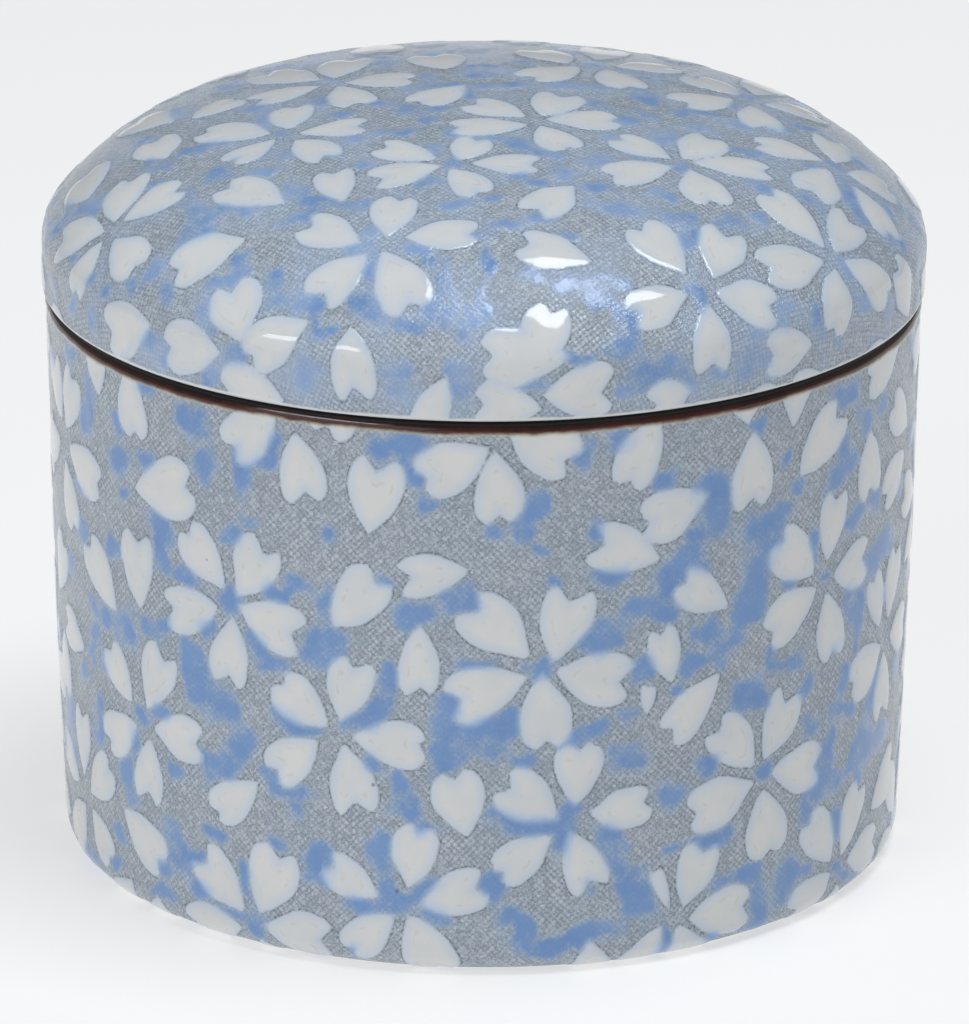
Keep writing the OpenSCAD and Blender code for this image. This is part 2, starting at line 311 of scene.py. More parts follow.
JAR_BLUES = [
    # the upper half, from the left
    (-52.3, 55.3, 1.9, 1.4), (-49, 49.5, 1, 1.8), (-47.6, 52.3, 1.2, 3.2), (-41.7, 47.6, 2.3, 1.4),
    (-41.3, 44.2, 0.9, 0.8), (-30.6, 54.4, 2.1, 1.8), (-29, 50.2, 1.3, 1.6), (-37.4, 48.9, 1, 0.7),
    (-36.8, 56.4, 1.5, 0.9), (-35.5, 42.2, 1.8, 1.9), (-34.9, 39, 1, 2), (-31.4, 38, 2.2, 0.8),
    (-43.4, 37.5, 1.5, 1.2), (-41.3, 29.8, 2.2, 2.4), (-45.2, 30, 1.3, 1), (-48.2, 30.2, 1.2, 0.9),
    (-37, 31.2, 1.3, 1.2), (-35, 32.4, 1.1, 0.9), (-31, 29.7, 1.7, 2), (-54, 32.6, 1.2, 1.2),
    (-49.6, 37.5, 1.3, 1.2), (-50, 42, 2, 0.9), (-42, 51.5, 0.8, 1.4), (-24.7, 50.2, 1, 2.8),
    (-22, 52.6, 1.7, 1.8), (-20.7, 54.2, 0.7, 1.4), (-14.9, 45.6, 0.8, 0.9),
    (-26.3, 43.5, 1.5, 1.3), (-23.5, 45.5, 1.1, 0.8), (-9.8, 54.3, 1.3, 1.2),
    (-7.6, 55.5, 2.8, 1.1), (-6.9, 52.6, 1, 1.8), (-5.4, 49.7, 0.9, 0.8), (-1.9, 39.7, 2.6, 1.6),
    (-6.8, 37.9, 2, 1.3), (-15.3, 38.2, 1.3, 2.3), (-16, 33.6, 2.2, 2.3), (-14.2, 34, 1.2, 1),
    (-21.4, 31, 1.8, 1.2), (-23.2, 33.1, 1.6, 1.5), (-28.8, 33.3, 1.1, 1.1),
    (-26.3, 36.8, 1.6, 1.3), (-20.8, 38.7, 1.6, 1), (-18.2, 39.7, 1.2, 0.9),
    (-9.3, 31.2, 1, 1.8), (-2.9, 28.7, 1.4, 1.3), (-9.8, 41.2, 1.2, 0.7), (-0.8, 33, 2, 0.8),
    (9.7, 54.2, 1.3, 1.5), (13.9, 55.3, 1.5, 1.1), (5.3, 49.5, 1.2, 1.5), (4, 47, 1, 1.5),
    (0.8, 47, 1.1, 0.9), (5.8, 44.7, 0.8, 0.6), (11.2, 46.4, 1.3, 1.1), (12.7, 41.7, 2.1, 1.3),
    (17.8, 50.8, 1.5, 1), (23, 49.4, 2.2, 2), (24, 46.5, 1.8, 2.2), (22, 44.8, 1.3, 1),
    (20.4, 42, 2.2, 1.4), (18.2, 40.3, 1.6, 1.6), (15.8, 38, 1.9, 1.3), (18.6, 37, 2.2, 1.2),
    (12.3, 36.1, 1.7, 2), (11, 34.7, 2, 1.1), (15.8, 31.6, 1.4, 1.3), (22.8, 34.4, 1.6, 1.3),
    (21.6, 31.4, 1.8, 0.9), (29.6, 43.6, 2.8, 2.4), (28.8, 38.5, 1.9, 3), (28.1, 35.8, 1.9, 2),
    (26, 32.8, 1.6, 1.3), (24.5, 31, 1, 1.2), (6.5, 41.2, 0.9, 0.6), (28.6, 54.8, 1, 0.9),
    (19.9, 28.7, 0.9, 0.8), (5.9, 32.4, 1.4, 1.1), (31.6, 45.2, 1.4, 1), (31, 41.5, 1.4, 1),
    (41.3, 54.8, 2.1, 1.5), (45.1, 51.3, 1.7, 1.8), (49, 51.8, 1.2, 0.9), (32.2, 50.4, 0.8, 0.7),
    (34.3, 47.2, 0.7, 0.8), (41.3, 49, 1.3, 1.6), (42.7, 47.4, 1.2, 1.3), (40, 46.7, 1.6, 1.1),
    (44, 41.4, 1.9, 1.4), (47.7, 42, 1.5, 1.3), (48.5, 35.5, 2.4, 2), (51.8, 36.3, 2, 1.5),
    (44.6, 32, 1.6, 2.2), (45.2, 29.8, 1.1, 1.3), (43, 34, 1, 0.9), (36.9, 40, 0.9, 2.2),
    (33.5, 37.3, 1.2, 0.8), (31.2, 30.6, 0.9, 1.1), (33.5, 28.8, 2.8, 0.9),
    (41.2, 28.5, 1.2, 0.8), (38.8, 36.7, 0.9, 0.6), (55, 41, 1, 1.3), (50.4, 31, 1, 1.4),
    # the lower half, from the left
    (-47.5, 27.4, 1.4, 1.2), (-51, 22, 1.4, 1), (-48.8, 25, 1.1, 0.9), (-47.1, 19.4, 1, 1.6),
    (-47.6, 17.2, 1.2, 1.7), (-42, 14.6, 1.3, 2.4), (-41.4, 12, 1.5, 1.1), (-43.9, 7.3, 1.1, 1),
    (-34.6, 9.8, 1.8, 1.9), (-33.3, 7.6, 1.6, 1.7), (-36.2, 6.2, 1, 1.2), (-36.6, 3, 1.7, 0.9),
    (-34, 16.8, 1.1, 0.8), (-38.7, 21.6, 1.5, 1), (-36, 22.6, 1.5, 0.7), (-29.5, 26.5, 2.4, 2.2),
    (-31, 28, 1.4, 1.8), (-27, 25.3, 1.9, 1.5), (-28.9, 18.5, 1.4, 1.5), (-45.4, 25, 1, 1.6),
    (-40.2, 18.4, 1, 1.5), (-31.3, 8.3, 1, 0.9), (-30.5, 4.9, 1.8, 1), (-57, 15.5, 2, 2.5),
    (-55.5, 12, 1.1, 1.2), (-51.5, 2.2, 2.6, 1), (-54.5, 0, 3, 0.9), (-44.8, 3.8, 1.2, 0.7),
    (-25.2, 22, 1.7, 1.8), (-27.3, 19.4, 1.9, 1.3), (-21.4, 18.8, 1.2, 1.3),
    (-18.8, 17.9, 1.6, 0.9), (-18.9, 15.9, 1, 0.9), (-28.7, 11.3, 1.2, 0.9),
    (-20.9, 12, 1.3, 1), (-16.3, 11.2, 1.8, 1.9), (-16.5, 9.4, 1.3, 1), (-8.2, 20.5, 1.1, 0.9),
    (-7.3, 17.7, 1.6, 1.8), (-7.9, 7.8, 2.2, 1.5), (-9.6, 11.2, 1, 2.2), (-11.6, 7, 1.8, 0.9),
    (-5.1, 9.2, 1.2, 1.8), (-4, 6.2, 1.6, 1.2), (-3.8, 22.8, 1.8, 1.7), (-12, 26.2, 2, 1.1),
    (-10.2, 28, 1.5, 1), (-20, 26, 1.8, 1), (-18, 24.8, 2.4, 0.8), (-11, 22, 1.1, 1.1),
    (-3.4, 26.6, 1.5, 1.8), (-0.8, 25.4, 2, 1.4), (-24, 2.9, 1.4, 1.3), (-25.1, 7.5, 0.8, 2.2),
    (-27, 3.4, 2, 0.7), (-5.4, 15.4, 1, 0.7), (-12.4, 2.2, 1, 1.2), (-10.4, 14, 1.1, 1.8),
    (1, 25.3, 2.4, 2.1), (3, 27.2, 1.1, 1.2), (4.2, 22.8, 1, 0.9), (8.8, 24.4, 1.4, 0.7),
    (11.2, 25.9, 1.3, 0.9), (14.6, 26.8, 1.3, 0.9), (14.9, 22.2, 1.5, 1.6), (13.6, 23.4, 0.9, 0.8),
    (19.7, 17.6, 2.1, 1.4), (23.6, 12.2, 1.9, 1.1), (26, 12.6, 1.5, 0.9), (19.5, 12, 1.3, 0.6),
    (23.5, 20.2, 1.4, 1), (2.7, 17.1, 2.1, 1.2), (5.5, 15.8, 2.4, 0.8), (8.5, 16.8, 1.1, 1.8),
    (8, 13.8, 0.9, 2.3), (12.6, 14.6, 1.3, 2.2), (13.7, 11.5, 1.3, 1.7), (15.3, 8.9, 1.7, 1.6),
    (16.6, 6.6, 1.8, 2.2), (1.5, 9.5, 1.3, 1.5), (3.2, 6.2, 1.7, 1.1), (4.2, 4.7, 1.3, 1.8),
    (6.6, 2.7, 2.6, 1.1), (12, 4.5, 2.5, 1.5), (10.2, 4, 1.3, 1), (19.4, 1.5, 0.8, 2.6),
    (25.8, 7.4, 1.8, 0.9), (28.9, 7.4, 2, 0.9), (24.8, 1.4, 1.1, 1.2), (28.3, 26.9, 2.2, 1.9),
    (29.8, 25.4, 1, 1.1), (10.6, 9.3, 0.8, 0.6), (36.2, 25.8, 1.2, 0.9), (36.9, 21.5, 1.4, 1.2),
    (42.7, 24.5, 1.1, 1.1), (41.4, 21.7, 1.6, 1.2), (43.2, 20.8, 1.7, 1.1), (40, 17.6, 1.7, 2.3),
    (38.7, 15, 1.4, 1.5), (40.3, 14.3, 1.6, 1.4), (42.4, 14, 1.1, 1), (37.3, 11.6, 1.1, 1.7),
    (42.5, 9.5, 1, 2.4), (30.4, 4.6, 1.3, 1.9), (34.5, 5.7, 2.1, 2.5), (37.8, 5.6, 1.7, 0.7),
    (31.2, 1.6, 1.6, 1.5), (47.5, 16, 2.7, 2.3), (45.4, 14.9, 1.6, 1.5), (47, 12.4, 1.3, 1),
    (48.8, 20, 1.4, 1.5), (50.1, 22.6, 1, 1.3), (52.4, 15.3, 2.8, 1.1), (45.2, 3.1, 1.4, 0.7),
    (47.5, 1.6, 2.2, 0.7), (44.5, 27.7, 0.9, 0.9), (30.6, 18, 0.9, 0.9), (43.3, 4, 1, 0.8),
    (61, 44.5, 2, 1.4), (57.5, 21.5, 1.4, 2), (63.5, 24, 1.8, 1.8), (64.5, 37.5, 2.6, 2.2),
    (69, 17.5, 2.4, 2), (61, 30.5, 1.6, 1.4), (71.5, 34, 1.8, 2.4), (61.5, 13, 1.5, 2),
    (67, 55, 2.4, 1.8), (58.5, 55.5, 1.6, 1.2), (76, 52, 2, 1.5), (71, 8.5, 1.8, 1.4),
    (76, 12, 1.2, 2), (74, 23.5, 1.6, 1.2), (67, 47, 1.8, 1), (61.5, 3.5, 2.4, 1.8),
]

LID_PETALS = [
    # along the front edge, from the left
    (-36, -33.8, -43.5, -28.8, 0.95), (-28.7, -41.2, -36, -36.8, 1), (-23.8, -29.3, -32.3, -29.9, 1),
    (-25.5, -41.5, -25.6, -34.2, 1.15), (-17.9, -41.8, -25.8, -43.3, 1), (-23.4, -48.5, -31, -44, 1),
    (-13.7, -43.3, -14.6, -51.3, 0.95), (-3.8, -49.8, -7.5, -55.5, 1), (6.8, -52.8, -1.2, -53, 1),
    (10.9, -36.2, 3, -34.3, 0.95), (9.2, -47.3, -0.5, -48, 0.9), (5.4, -49.5, 7.2, -41.8, 0.95),
    (6.8, -51.5, 14.9, -49.2, 0.95), (24, -46.8, 19.4, -50.6, 1), (36.8, -35.2, 31.2, -40.2, 1),
    (51, -16.5, 43.5, -17.8, 1.1), (-19.8, -25, -26.3, -18.9, 0.9), (-14, -26.1, -15, -18.9, 0.9),
    (9, -23.6, 4.5, -29.7, 0.95), (-41, -8.7, -41.3, -0.6, 1.1), (-32, -9, -33.5, -1.8, 1),
    # whole blossoms, from the left
    (-38, -17.3, -35.6, -9.7, 0.95), (-39.3, -17.6, -46.2, -11.5, 0.85),
    (-39.5, -19, -45.6, -21.4, 1), (-38.3, -19.8, -36, -26.7, 1.05), (-37, -18, -29.7, -16.8, 1),
    (-21.2, -8.6, -28.7, -4, 0.9), (-19.5, -8.1, -18.9, -1, 1), (-18.4, -9.3, -11.2, -9.1, 0.95),
    (-18.8, -10.9, -15.3, -17, 0.95), (-20.8, -10.2, -25.7, -14, 1),
    (-12.2, -33.6, -18, -29, 1), (-9.6, -33, -8.3, -25.8, 1), (-7.9, -33.3, -0.3, -32.8, 0.95),
    (-10, -35, -7, -43, 0.95), (-11.6, -35, -17.3, -40, 1),
    (-4.6, -18.6, -11, -14.7, 0.85), (-4.2, -20, -11.4, -22.5, 0.95), (-3.3, -20.6, -0.1, -26.2, 1),
    (-1.5, -19.4, 6, -19.4, 0.85), (-2.6, -18.8, -0.6, -13.6, 1.15),
    (4.4, -10.2, -3.7, -11.2, 0.85), (4.2, -8, -1.8, -4, 1), (5.8, -7.6, 8, 0, 0.95),
    (6, -8.5, 13.6, -7.2, 1), (5.6, -10.2, 8.6, -16, 1.1), (-1.9, 1.6, -6.9, -4.4, 0.95),
    (18.6, -15.4, 12.7, -11.8, 1), (19.7, -15, 22.9, -7.8, 0.95), (20.6, -15.4, 29, -13.8, 0.85),
    (20.4, -17, 23, -23.9, 1), (18.7, -17, 12, -21.5, 0.95),
    (20.3, -35.3, 15, -29.6, 1), (23.3, -34.6, 24.2, -26.9, 0.95), (23.7, -36.3, 31, -34.8, 1),
    (22.8, -37.8, 25.6, -45, 0.95), (20.8, -37.5, 14.8, -41.8, 0.95),
    (35, -25.3, 28.1, -31.2, 0.9), (36.4, -25.5, 39.1, -32.4, 1), (34.8, -23.8, 27.8, -18.6, 0.95),
    (36.1, -23.4, 38, -15.4, 0.85), (37.3, -23.7, 45, -21.8, 1),
    (34.2, -6.7, 26.8, -7, 1), (35.6, -5.7, 35.3, 2.3, 0.85), (37, -6.9, 42.8, -2.8, 1),
    (37.6, -9, 43.2, -14, 0.95), (35, -8.3, 32.7, -16.3, 0.95),
    # over the crown
    (-14.8, 4.2, -12.3, -3.6, 0.85), (-16.6, 7.3, -23.2, 15.5, 0.8), (-15.2, 7.5, -13.7, 17.3, 0.8),
    (-14.1, 5.2, -6.9, 4.4, 1.15), (-16.5, 5.2, -24, 2.8, 1), (-3.8, 8, -5.7, 16, 1.05),
    (-29.7, 1.3, -24.7, 5, 1.1), (-31.5, 2, -36.5, 9, 0.9),
    (8.5, 12, 4.7, 19.6, 0.95), (11.5, 15.8, 12.2, 26.5, 0.75), (13.2, 13, 19.6, 16.6, 1),
    (12, 10.7, 14.9, 3.6, 0.95), (9.6, 10.8, 3.9, 4.2, 0.95),
    (25.8, 8.2, 20.7, 13.2, 1.1), (25.2, 6.2, 19, 0.8, 1), (27, 5.5, 28.3, -2.8, 0.85),
    (28.3, 7.3, 35.2, 9.3, 1), (27.6, 10.5, 29.3, 20.5, 0.75), (-11, 29.5, -10.9, 19.5, 0.8),
    (-45.5, 7, -46.5, 15.5, 0.8), (-27.5, 26.5, -26.5, 17.5, 0.8), (46, 1, 46.8, 9.5, 0.8),
] + blossom(-35.5, 23, 8.8, 15) + blossom(-20, 37.5, 8.8, 40) + blossom(-1, 42.5, 8.8, 0) \
  + blossom(18, 37, 8.8, 62) + blossom(37, 23, 8.8, 85) + blossom(44, 38, 8, 10) \
  + [(-33, 36, -38, 41), (30, 40, 27, 47), (7, 33, 1.5, 28.5), (-9.5, 51, -15.5, 48.5),
     (24, 27, 18, 24), (48, 15.5, 43.5, 10), (-30.5, 43.5, -25, 48), (7.5, 52, 13.5, 48),
     (-47.5, 25, -50.5, 17.5), (29.5, 24.5, 29, 32),
     # low on the shoulder, out of sight from the front
     (43, -36, 37.5, -40.8), (46, -29.5, 51.5, -25), (50, -9.8, 55, -4.8), (55, 0, 53.3, 7.5),
     (51, 13.5, 51.8, 21), (-51.5, -20.8, -54.4, -13.8), (-52, -9, -54.3, -1.8),
     (-50, 1, -54.6, 7), (-43.5, 35, -47.5, 29), (-20, 52.5, -26, 49.6), (-2, 56, -8.8, 54.6),
     (20, 52.5, 14, 54.4), (24, 45.5, 21.5, 52), (34, 37.5, 33.6, 45), (31, -47.3, 37, -42.8)]

LID_BLUES = [
    # the front, from the left
    (-36.9, -28.3, 1.1, 1.3), (-34, -27.7, 1.1, 1.3), (-29.4, -26.5, 1.9, 1.5), (-41, -32.8, 2, 0.8),
    (-38, -34.6, 1.8, 1.5), (-36.6, -37, 1.1, 1.2), (-33, -32, 1.1, 1.6), (-29, -36.9, 1.3, 1.9),
    (-31.5, -42.3, 2.2, 1), (-27.4, -42.7, 1.9, 1.2), (-27, -33.5, 2, 0.9), (-25, -34, 1.4, 0.8),
    (-24.4, -32, 0.9, 0.9), (-18.8, -28, 2.2, 1.3), (-21, -35.8, 1.2, 1.3), (-20.5, -38.7, 2.3, 1.1),
    (-17.8, -39.9, 1.5, 1.1), (-17.4, -42, 1.2, 1.8), (-16.4, -43.5, 1.1, 0.8),
    (-25.7, -41.8, 1, 0.6), (-19.5, -47, 1.8, 1.6), (-11, -32, 1.3, 1), (-12.8, -34.3, 1.6, 1),
    (-11.2, -36.5, 0.9, 2.2), (-12.5, -41, 1.1, 1.3), (-10.7, -42, 1.1, 1.8), (-14, -26.6, 1.9, 1),
    (-12, -27, 1.1, 1.1), (-3, -27.7, 2, 1.3), (-0.4, -33, 1.1, 1), (-6.2, -34.9, 1.7, 0.8),
    (-5.3, -36.6, 0.9, 1), (-4.3, -38.6, 0.8, 1.4), (-3.3, -40.8, 0.8, 1.6), (-7.5, -44, 2, 1),
    (-4.5, -43.4, 1.6, 1.4), (-1.6, -44.4, 1, 2), (0, -41.6, 0.7, 2.4), (0.2, -37.4, 0.7, 2),
    (-9.5, -48.8, 2.1, 0.8), (-9.5, -51.1, 2.2, 1), (-3.2, -48.9, 1.2, 0.8),
    (-2.5, -51.3, 1.7, 1.6), (13, -27.2, 3, 1.4), (19.5, -27.8, 2.4, 1.6), (5.7, -30.2, 1.6, 1),
    (2.5, -31.4, 1.4, 0.9), (8.6, -33, 1.4, 0.8), (10.8, -38.7, 1.5, 1.3), (11.9, -40.7, 1.8, 1.1),
    (13.6, -37.8, 1.2, 0.7), (15, -41.6, 1.4, 1.6), (14.9, -44.4, 1.3, 1.4), (13.6, -46, 1.8, 0.7),
    (18, -47.3, 2.2, 1.6), (21, -45.2, 2, 1.2), (23, -46.8, 1.3, 1), (16, -49.4, 1.2, 0.9),
    (26, -44.5, 1.3, 1), (21.3, -36.6, 1.3, 0.7), (22.3, -38.3, 0.9, 1.6), (20.3, -31, 0.9, 1.7),
    (24, -26.3, 1.4, 0.7), (5, -38.8, 1.8, 0.7), (8.5, -39.4, 1.3, 0.9), (6, -50.4, 2, 0.6),
    (10, -47.5, 1.7, 0.7), (31.7, -33.8, 1, 1.1), (31.9, -35.9, 1, 1.1), (36.8, -33.7, 1.7, 1.3),
    (35.2, -32.3, 0.9, 0.9), (32.4, -40.3, 2, 1.3), (29, -42.2, 1.8, 1.5), (29, -38.6, 1.5, 1.2),
    (40.7, -31.8, 1.3, 0.9), (41.8, -26.4, 1.3, 0.9),
    # the middle, from the left
    (-45, -8.2, 1.6, 1.1), (-42.5, -9.4, 1.9, 1.1), (-40.3, -11.4, 1.5, 2.2), (-47, -5.5, 1, 2),
    (-43.5, -6.5, 1.1, 1), (-33.8, -8.3, 1.2, 1.6), (-32.4, -10.4, 1.6, 1), (-28.5, -9, 2.2, 1.1),
    (-33.3, -13.9, 1.3, 0.9), (-29.8, -19.5, 1.1, 2.2), (-28.5, -23, 1.7, 2.3),
    (-29.2, -26.2, 1.3, 1.3), (-26.5, -16.2, 1.6, 1.7), (-42, -22.7, 1.3, 0.9),
    (-46.8, -21.1, 1.3, 1.1), (-44.7, -25.3, 1.2, 1), (-40.3, -25.8, 0.9, 0.7),
    (-49.5, -14, 1, 1.6), (-34.5, -1, 1.1, 1), (-43.9, -18, 0.9, 0.7), (-22, -4, 1, 3),
    (-26.5, -8.4, 1.9, 1), (-24.6, -12.8, 1.1, 0.8), (-16, -1.5, 1.2, 1.4), (-10.5, -3.5, 1.7, 1.3),
    (-14, -5.6, 2.2, 0.9), (-8, -5.8, 1.3, 1.4), (-5, -6.2, 2.2, 1), (-5.8, -8.8, 1.4, 1.1),
    (-9, -11.5, 2.3, 1), (-13.4, -13, 1.1, 1.5), (-15, -15.9, 1.2, 0.8), (-19.6, -15, 1, 1),
    (-22, -18, 2.3, 1), (-18.6, -22.8, 1.4, 1.8), (-26, -23.5, 1.7, 1), (-23.5, -25.1, 2, 0.8),
    (-15, -26.3, 1.9, 1), (-12, -19, 1.1, 1.1), (-5.6, -23.3, 1.5, 1.4), (-3.2, -19.4, 1.1, 1),
    (-4.8, -16, 1, 1.7), (-3.2, -12, 1.1, 1.4), (-1.8, -1.5, 1, 1.9), (-20.2, -9.5, 1.3, 1.1),
    (-17, -24.8, 1.6, 0.7), (0, -13.6, 2.2, 0.7), (3.5, -15, 1.6, 1.5), (6.3, -16.9, 2.2, 0.9),
    (11, -17.8, 1.1, 2), (12.3, -12, 1.6, 1.4), (11.5, -3.3, 1.5, 1.4), (13.8, -7.3, 1, 1.4),
    (15.7, -4.3, 1.6, 1.3), (18, -10, 1.7, 1.9), (21.5, -6, 2, 1.3), (19.8, -2.5, 1.3, 1.3),
    (16.8, -0.2, 1.1, 1), (7.8, -21, 1.3, 1.9), (11.2, -23.7, 1.7, 1.2), (17.7, -23.6, 2, 0.9),
    (15.8, -16.2, 1.8, 0.7), (19.6, -17, 0.8, 1.6), (26, -10.2, 1.7, 0.9), (24.8, -26, 1.4, 1.3),
    (3.8, -22, 1.3, 0.8), (1, -26.4, 1, 0.9), (5.4, -23.8, 0.9, 0.7), (25.5, -2, 1.3, 1.6),
    (37.1, -10, 1, 2.1), (37.6, -13, 1.3, 2), (38.8, -15, 1.3, 1), (42.5, -9, 1.3, 0.8),
    (44, -13, 1.5, 1.2), (42.3, -14.8, 1, 0.6), (46.8, -3.3, 1.1, 1.3), (43.7, -4, 0.9, 0.9),
    (32.8, -17.3, 1.6, 1.1), (27.5, -18, 1.8, 1.2), (27.8, -23.6, 0.7, 0.9),
    (26.7, -10, 1.3, 0.9), (33, -9, 1.5, 0.9), (45.7, -22, 1.7, 1.2), (42, -25.9, 1.2, 0.8),
    (37.3, -24.1, 1, 0.9), (48.5, -12, 1.8, 1.2), (35.5, -7.2, 1.2, 0.9),
    # over the crown and behind it
    (-31.5, 6, 1.8, 3), (-50, 14, 1.1, 3), (-49, 18, 1, 3), (-47, 23, 1.3, 2.4),
    (-42.8, 22, 0.9, 1.2), (-26, 12, 1.8, 3.2), (-17.5, 18.5, 2, 3.6), (-21.5, 20, 1, 2),
    (-10, 12, 1.3, 3.2), (-10, 16, 2, 1.8), (-16, 6.4, 1.1, 1.1), (-0.8, 6, 2.1, 1.7),
    (-0.5, 9, 1.6, 1.6), (-5.8, 5, 1.2, 2.1), (-3.5, 2, 2.2, 1), (-6.5, 1, 1.3, 1.1),
    (-23, 0.4, 1.8, 1.5), (-16.2, -0.3, 1.3, 1.3), (0.5, 1.2, 1.8, 1.2), (-4.8, 18, 1.6, 2.2),
    (-1, 21, 1.6, 2.6), (2.8, 1.8, 1.9, 1.2), (4, 11.3, 1.7, 1.3), (1.5, 8, 1.1, 1.6),
    (10.8, 13.5, 1.5, 1.8), (8.3, 23, 1.5, 2.6), (7.5, 2.3, 2, 1.3), (10.5, 3, 2.3, 1.4),
    (16.5, 0.4, 1.6, 1.3), (16, 3, 1.6, 1.6), (17.5, 9, 1.3, 1.8), (22.3, -0.8, 2, 0.9),
    (26.5, 9.3, 1.2, 2.2), (25.3, 3.6, 0.9, 1.7), (32.5, 2.3, 2.2, 1.2), (29.8, -1, 1.6, 1),
    (38.7, -1, 1.3, 1.6), (47.5, 21.5, 0.9, 2.2), (48.8, 19, 0.9, 1.4), (46, 24, 1, 1.4),
    (49.4, 9, 0.8, 3.6), (42.5, 24, 1.1, 1.7), (44, 17.5, 0.9, 2), (-35.5, 23, 2.6, 2.4),
    (-20, 37.5, 2.6, 2.4), (-1, 42.5, 3, 2.6), (18, 37, 2.2, 2.2), (37, 23, 2.4, 2.2),
    (-10, 37, 2, 1.5), (9, 45, 1.8, 2.2), (26, 30, 2, 1.6), (-28, 31, 2, 1.6), (3, 33, 2.4, 1.4),
    (-12.5, 44, 1.4, 2.2), (28.5, 41, 2.2, 1.5), (-33, 41, 1.6, 1.8), (13, 31, 1.6, 1.2),
    (42, -37.5, 1.8, 1.2), (52, -12, 1, 2), (50.5, 3, 1, 2), (-47, 4, 1.4, 2.2),
    (-53, 3.5, 1, 1.8), (-50, -27.5, 1.5, 1.3), (-43.5, -35.5, 1.8, 1.2), (-33, 46.5, 1.8, 1.1),
    (-15, 53, 2.2, 1.2), (4, 50, 1.3, 1.8), (12, 52, 1.6, 1.3), (30, 47.5, 1.5, 1),
    (38.5, 41, 1.6, 1.3), (52.3, 8.5, 1, 2), (45.5, 31, 1.4, 1.5), (-40, 36.5, 1.4, 1.5),
    (0, 36, 2.2, 1.4), (-14.5, 31, 1.8, 1.8), (20, 30.5, 1.8, 1.3), (-17, 27, 2.2, 1.6),
    (4, 27.5, 1.5, 2), (-6, 25.5, 1.6, 2), (-30, 19, 1.6, 2), (10, 37, 2, 1.4),
    (-26, 43.5, 1.6, 1.2), (50, -2.5, 1.2, 1.8), (48, -34, 1.3, 1), (-45, -32.5, 1.2, 1),
    (36, 34, 2, 1.4), (-42, 31, 1.5, 2), (-5, 51, 2.4, 1.1), (20, 47, 2, 1.3), (-23, 47.5, 2, 1.2),
    (33, 13, 1.4, 1.8), (-36, 13.5, 1.4, 1.8), (-6, 33.5, 1.8, 1.2), (40, 31.5, 1.6, 1.2),
]

# A petal's form, as shares of its length, and how far chance may change it
PETAL_HALF_WIDTH = 0.335
PETAL_WIDEST = 0.64
PETAL_SIDE_POWER = 0.95   # near 1, its sides are sine waves
PETAL_TIP_POWER = 3.2     # above 2, its tip is blunter than an oval
NOTCH_DEPTH = 0.17
NOTCH_SLOPE = 0.85
BEND_CHANCE = 0.12
WIDTH_CHANCE = 0.05
NOTCH_PLACE_CHANCE = 0.04
NOTCH_DEPTH_CHANCE = 0.3
SLOPE_STEP = 0.01         # the step over which an outline's steepness is taken
STEEPEST = 9

# How a patch of blue fades, in shares of its half widths, and how ragged it is
BLUE_MARGIN = 0.25        # added to its half widths
BLUE_END = 1.65
BLUE_FADE = 1.3
BLUE_RAGGED = 0.6
BLUE_RAGGED_SIZE = 3.2

STRAY = 0.13              # how far the whole print strays from its stated places
STRAY_SIZE = 4
FAR = 6.0                 # a distance from an edge that no longer matters
JAR_SKIN_R = 43.4         # the radius at which the jar's turn is measured as a length
JAR_REPEAT = np.pi * JAR_SKIN_R   # the jar's layout is printed twice round it


def soft_step(value, low, high):
    """0 below low, 1 above high, and a smooth S between them: t * t * (3 - 2 t)."""
    t = np.clip((value - low) / (high - low), 0, 1)
    return t * t * (3 - 2 * t)


def wander(points, size, seed):
    """A smooth random value near -1 to 1 at every point: the mean of eight sine waves in space,
    with random directions and phases and wavelengths around size."""
    rng = np.random.default_rng(seed)
    total = np.zeros(len(points))
    for _ in range(8):
        direction = rng.normal(size=3)
        direction /= np.linalg.norm(direction) * size * rng.uniform(0.7, 1.4)
        total += np.sin(2 * np.pi * (points @ direction + rng.random()))
    return total / 4


def half_width(t):
    """Half a petal's width at share t of its length: a quarter sine wave from the pointed end
    to the widest place, and a blunt oval beyond it."""
    t = np.clip(t, 0, 1)
    rise = np.sin(np.pi / 2 * np.minimum(t / PETAL_WIDEST, 1)) ** PETAL_SIDE_POWER
    beyond = np.abs((t - PETAL_WIDEST) / (1 - PETAL_WIDEST))
    fall = np.sqrt(np.clip(1 - beyond ** PETAL_TIP_POWER, 0, 1))
    return PETAL_HALF_WIDTH * np.where(t < PETAL_WIDEST, rise, fall)


def petal_distance(across, up, run, rise, width, shape):
    """Distance inside a petal's edge, negative outside it, at places measured from its pointed
    end: the gap between a point and the outline at its share of the length, divided by the
    outline's steepness, less the notch. run and rise lead to the tip, and shape holds four
    small chances that bend the petal and change its width and its notch."""
    length = np.hypot(run, rise)
    along = (across * run + up * rise) / length
    t = along / length
    middle = BEND_CHANCE * shape[0] * length * t * (1 - t)
    aside = (up * run - across * rise) / length - middle
    wide = width * (1 + WIDTH_CHANCE * shape[1])
    slope = wide * (half_width(t + SLOPE_STEP) - half_width(t - SLOPE_STEP)) / (2 * SLOPE_STEP)
    steepness = np.hypot(1, np.clip(slope, -STEEPEST, STEEPEST))
    body = (wide * half_width(t) * length - np.abs(aside)) / steepness
    beyond = np.maximum(-along, along - length)
    body = np.where(beyond > 0, -np.hypot(beyond, aside), body)
    notch_side = np.abs(aside - NOTCH_PLACE_CHANCE * shape[2] * length)
    depth = NOTCH_DEPTH * (1 + NOTCH_DEPTH_CHANCE * shape[3]) * length
    notch = (along - length + depth - NOTCH_SLOPE * notch_side) / np.hypot(1, NOTCH_SLOPE)
    return np.minimum(body, -notch)


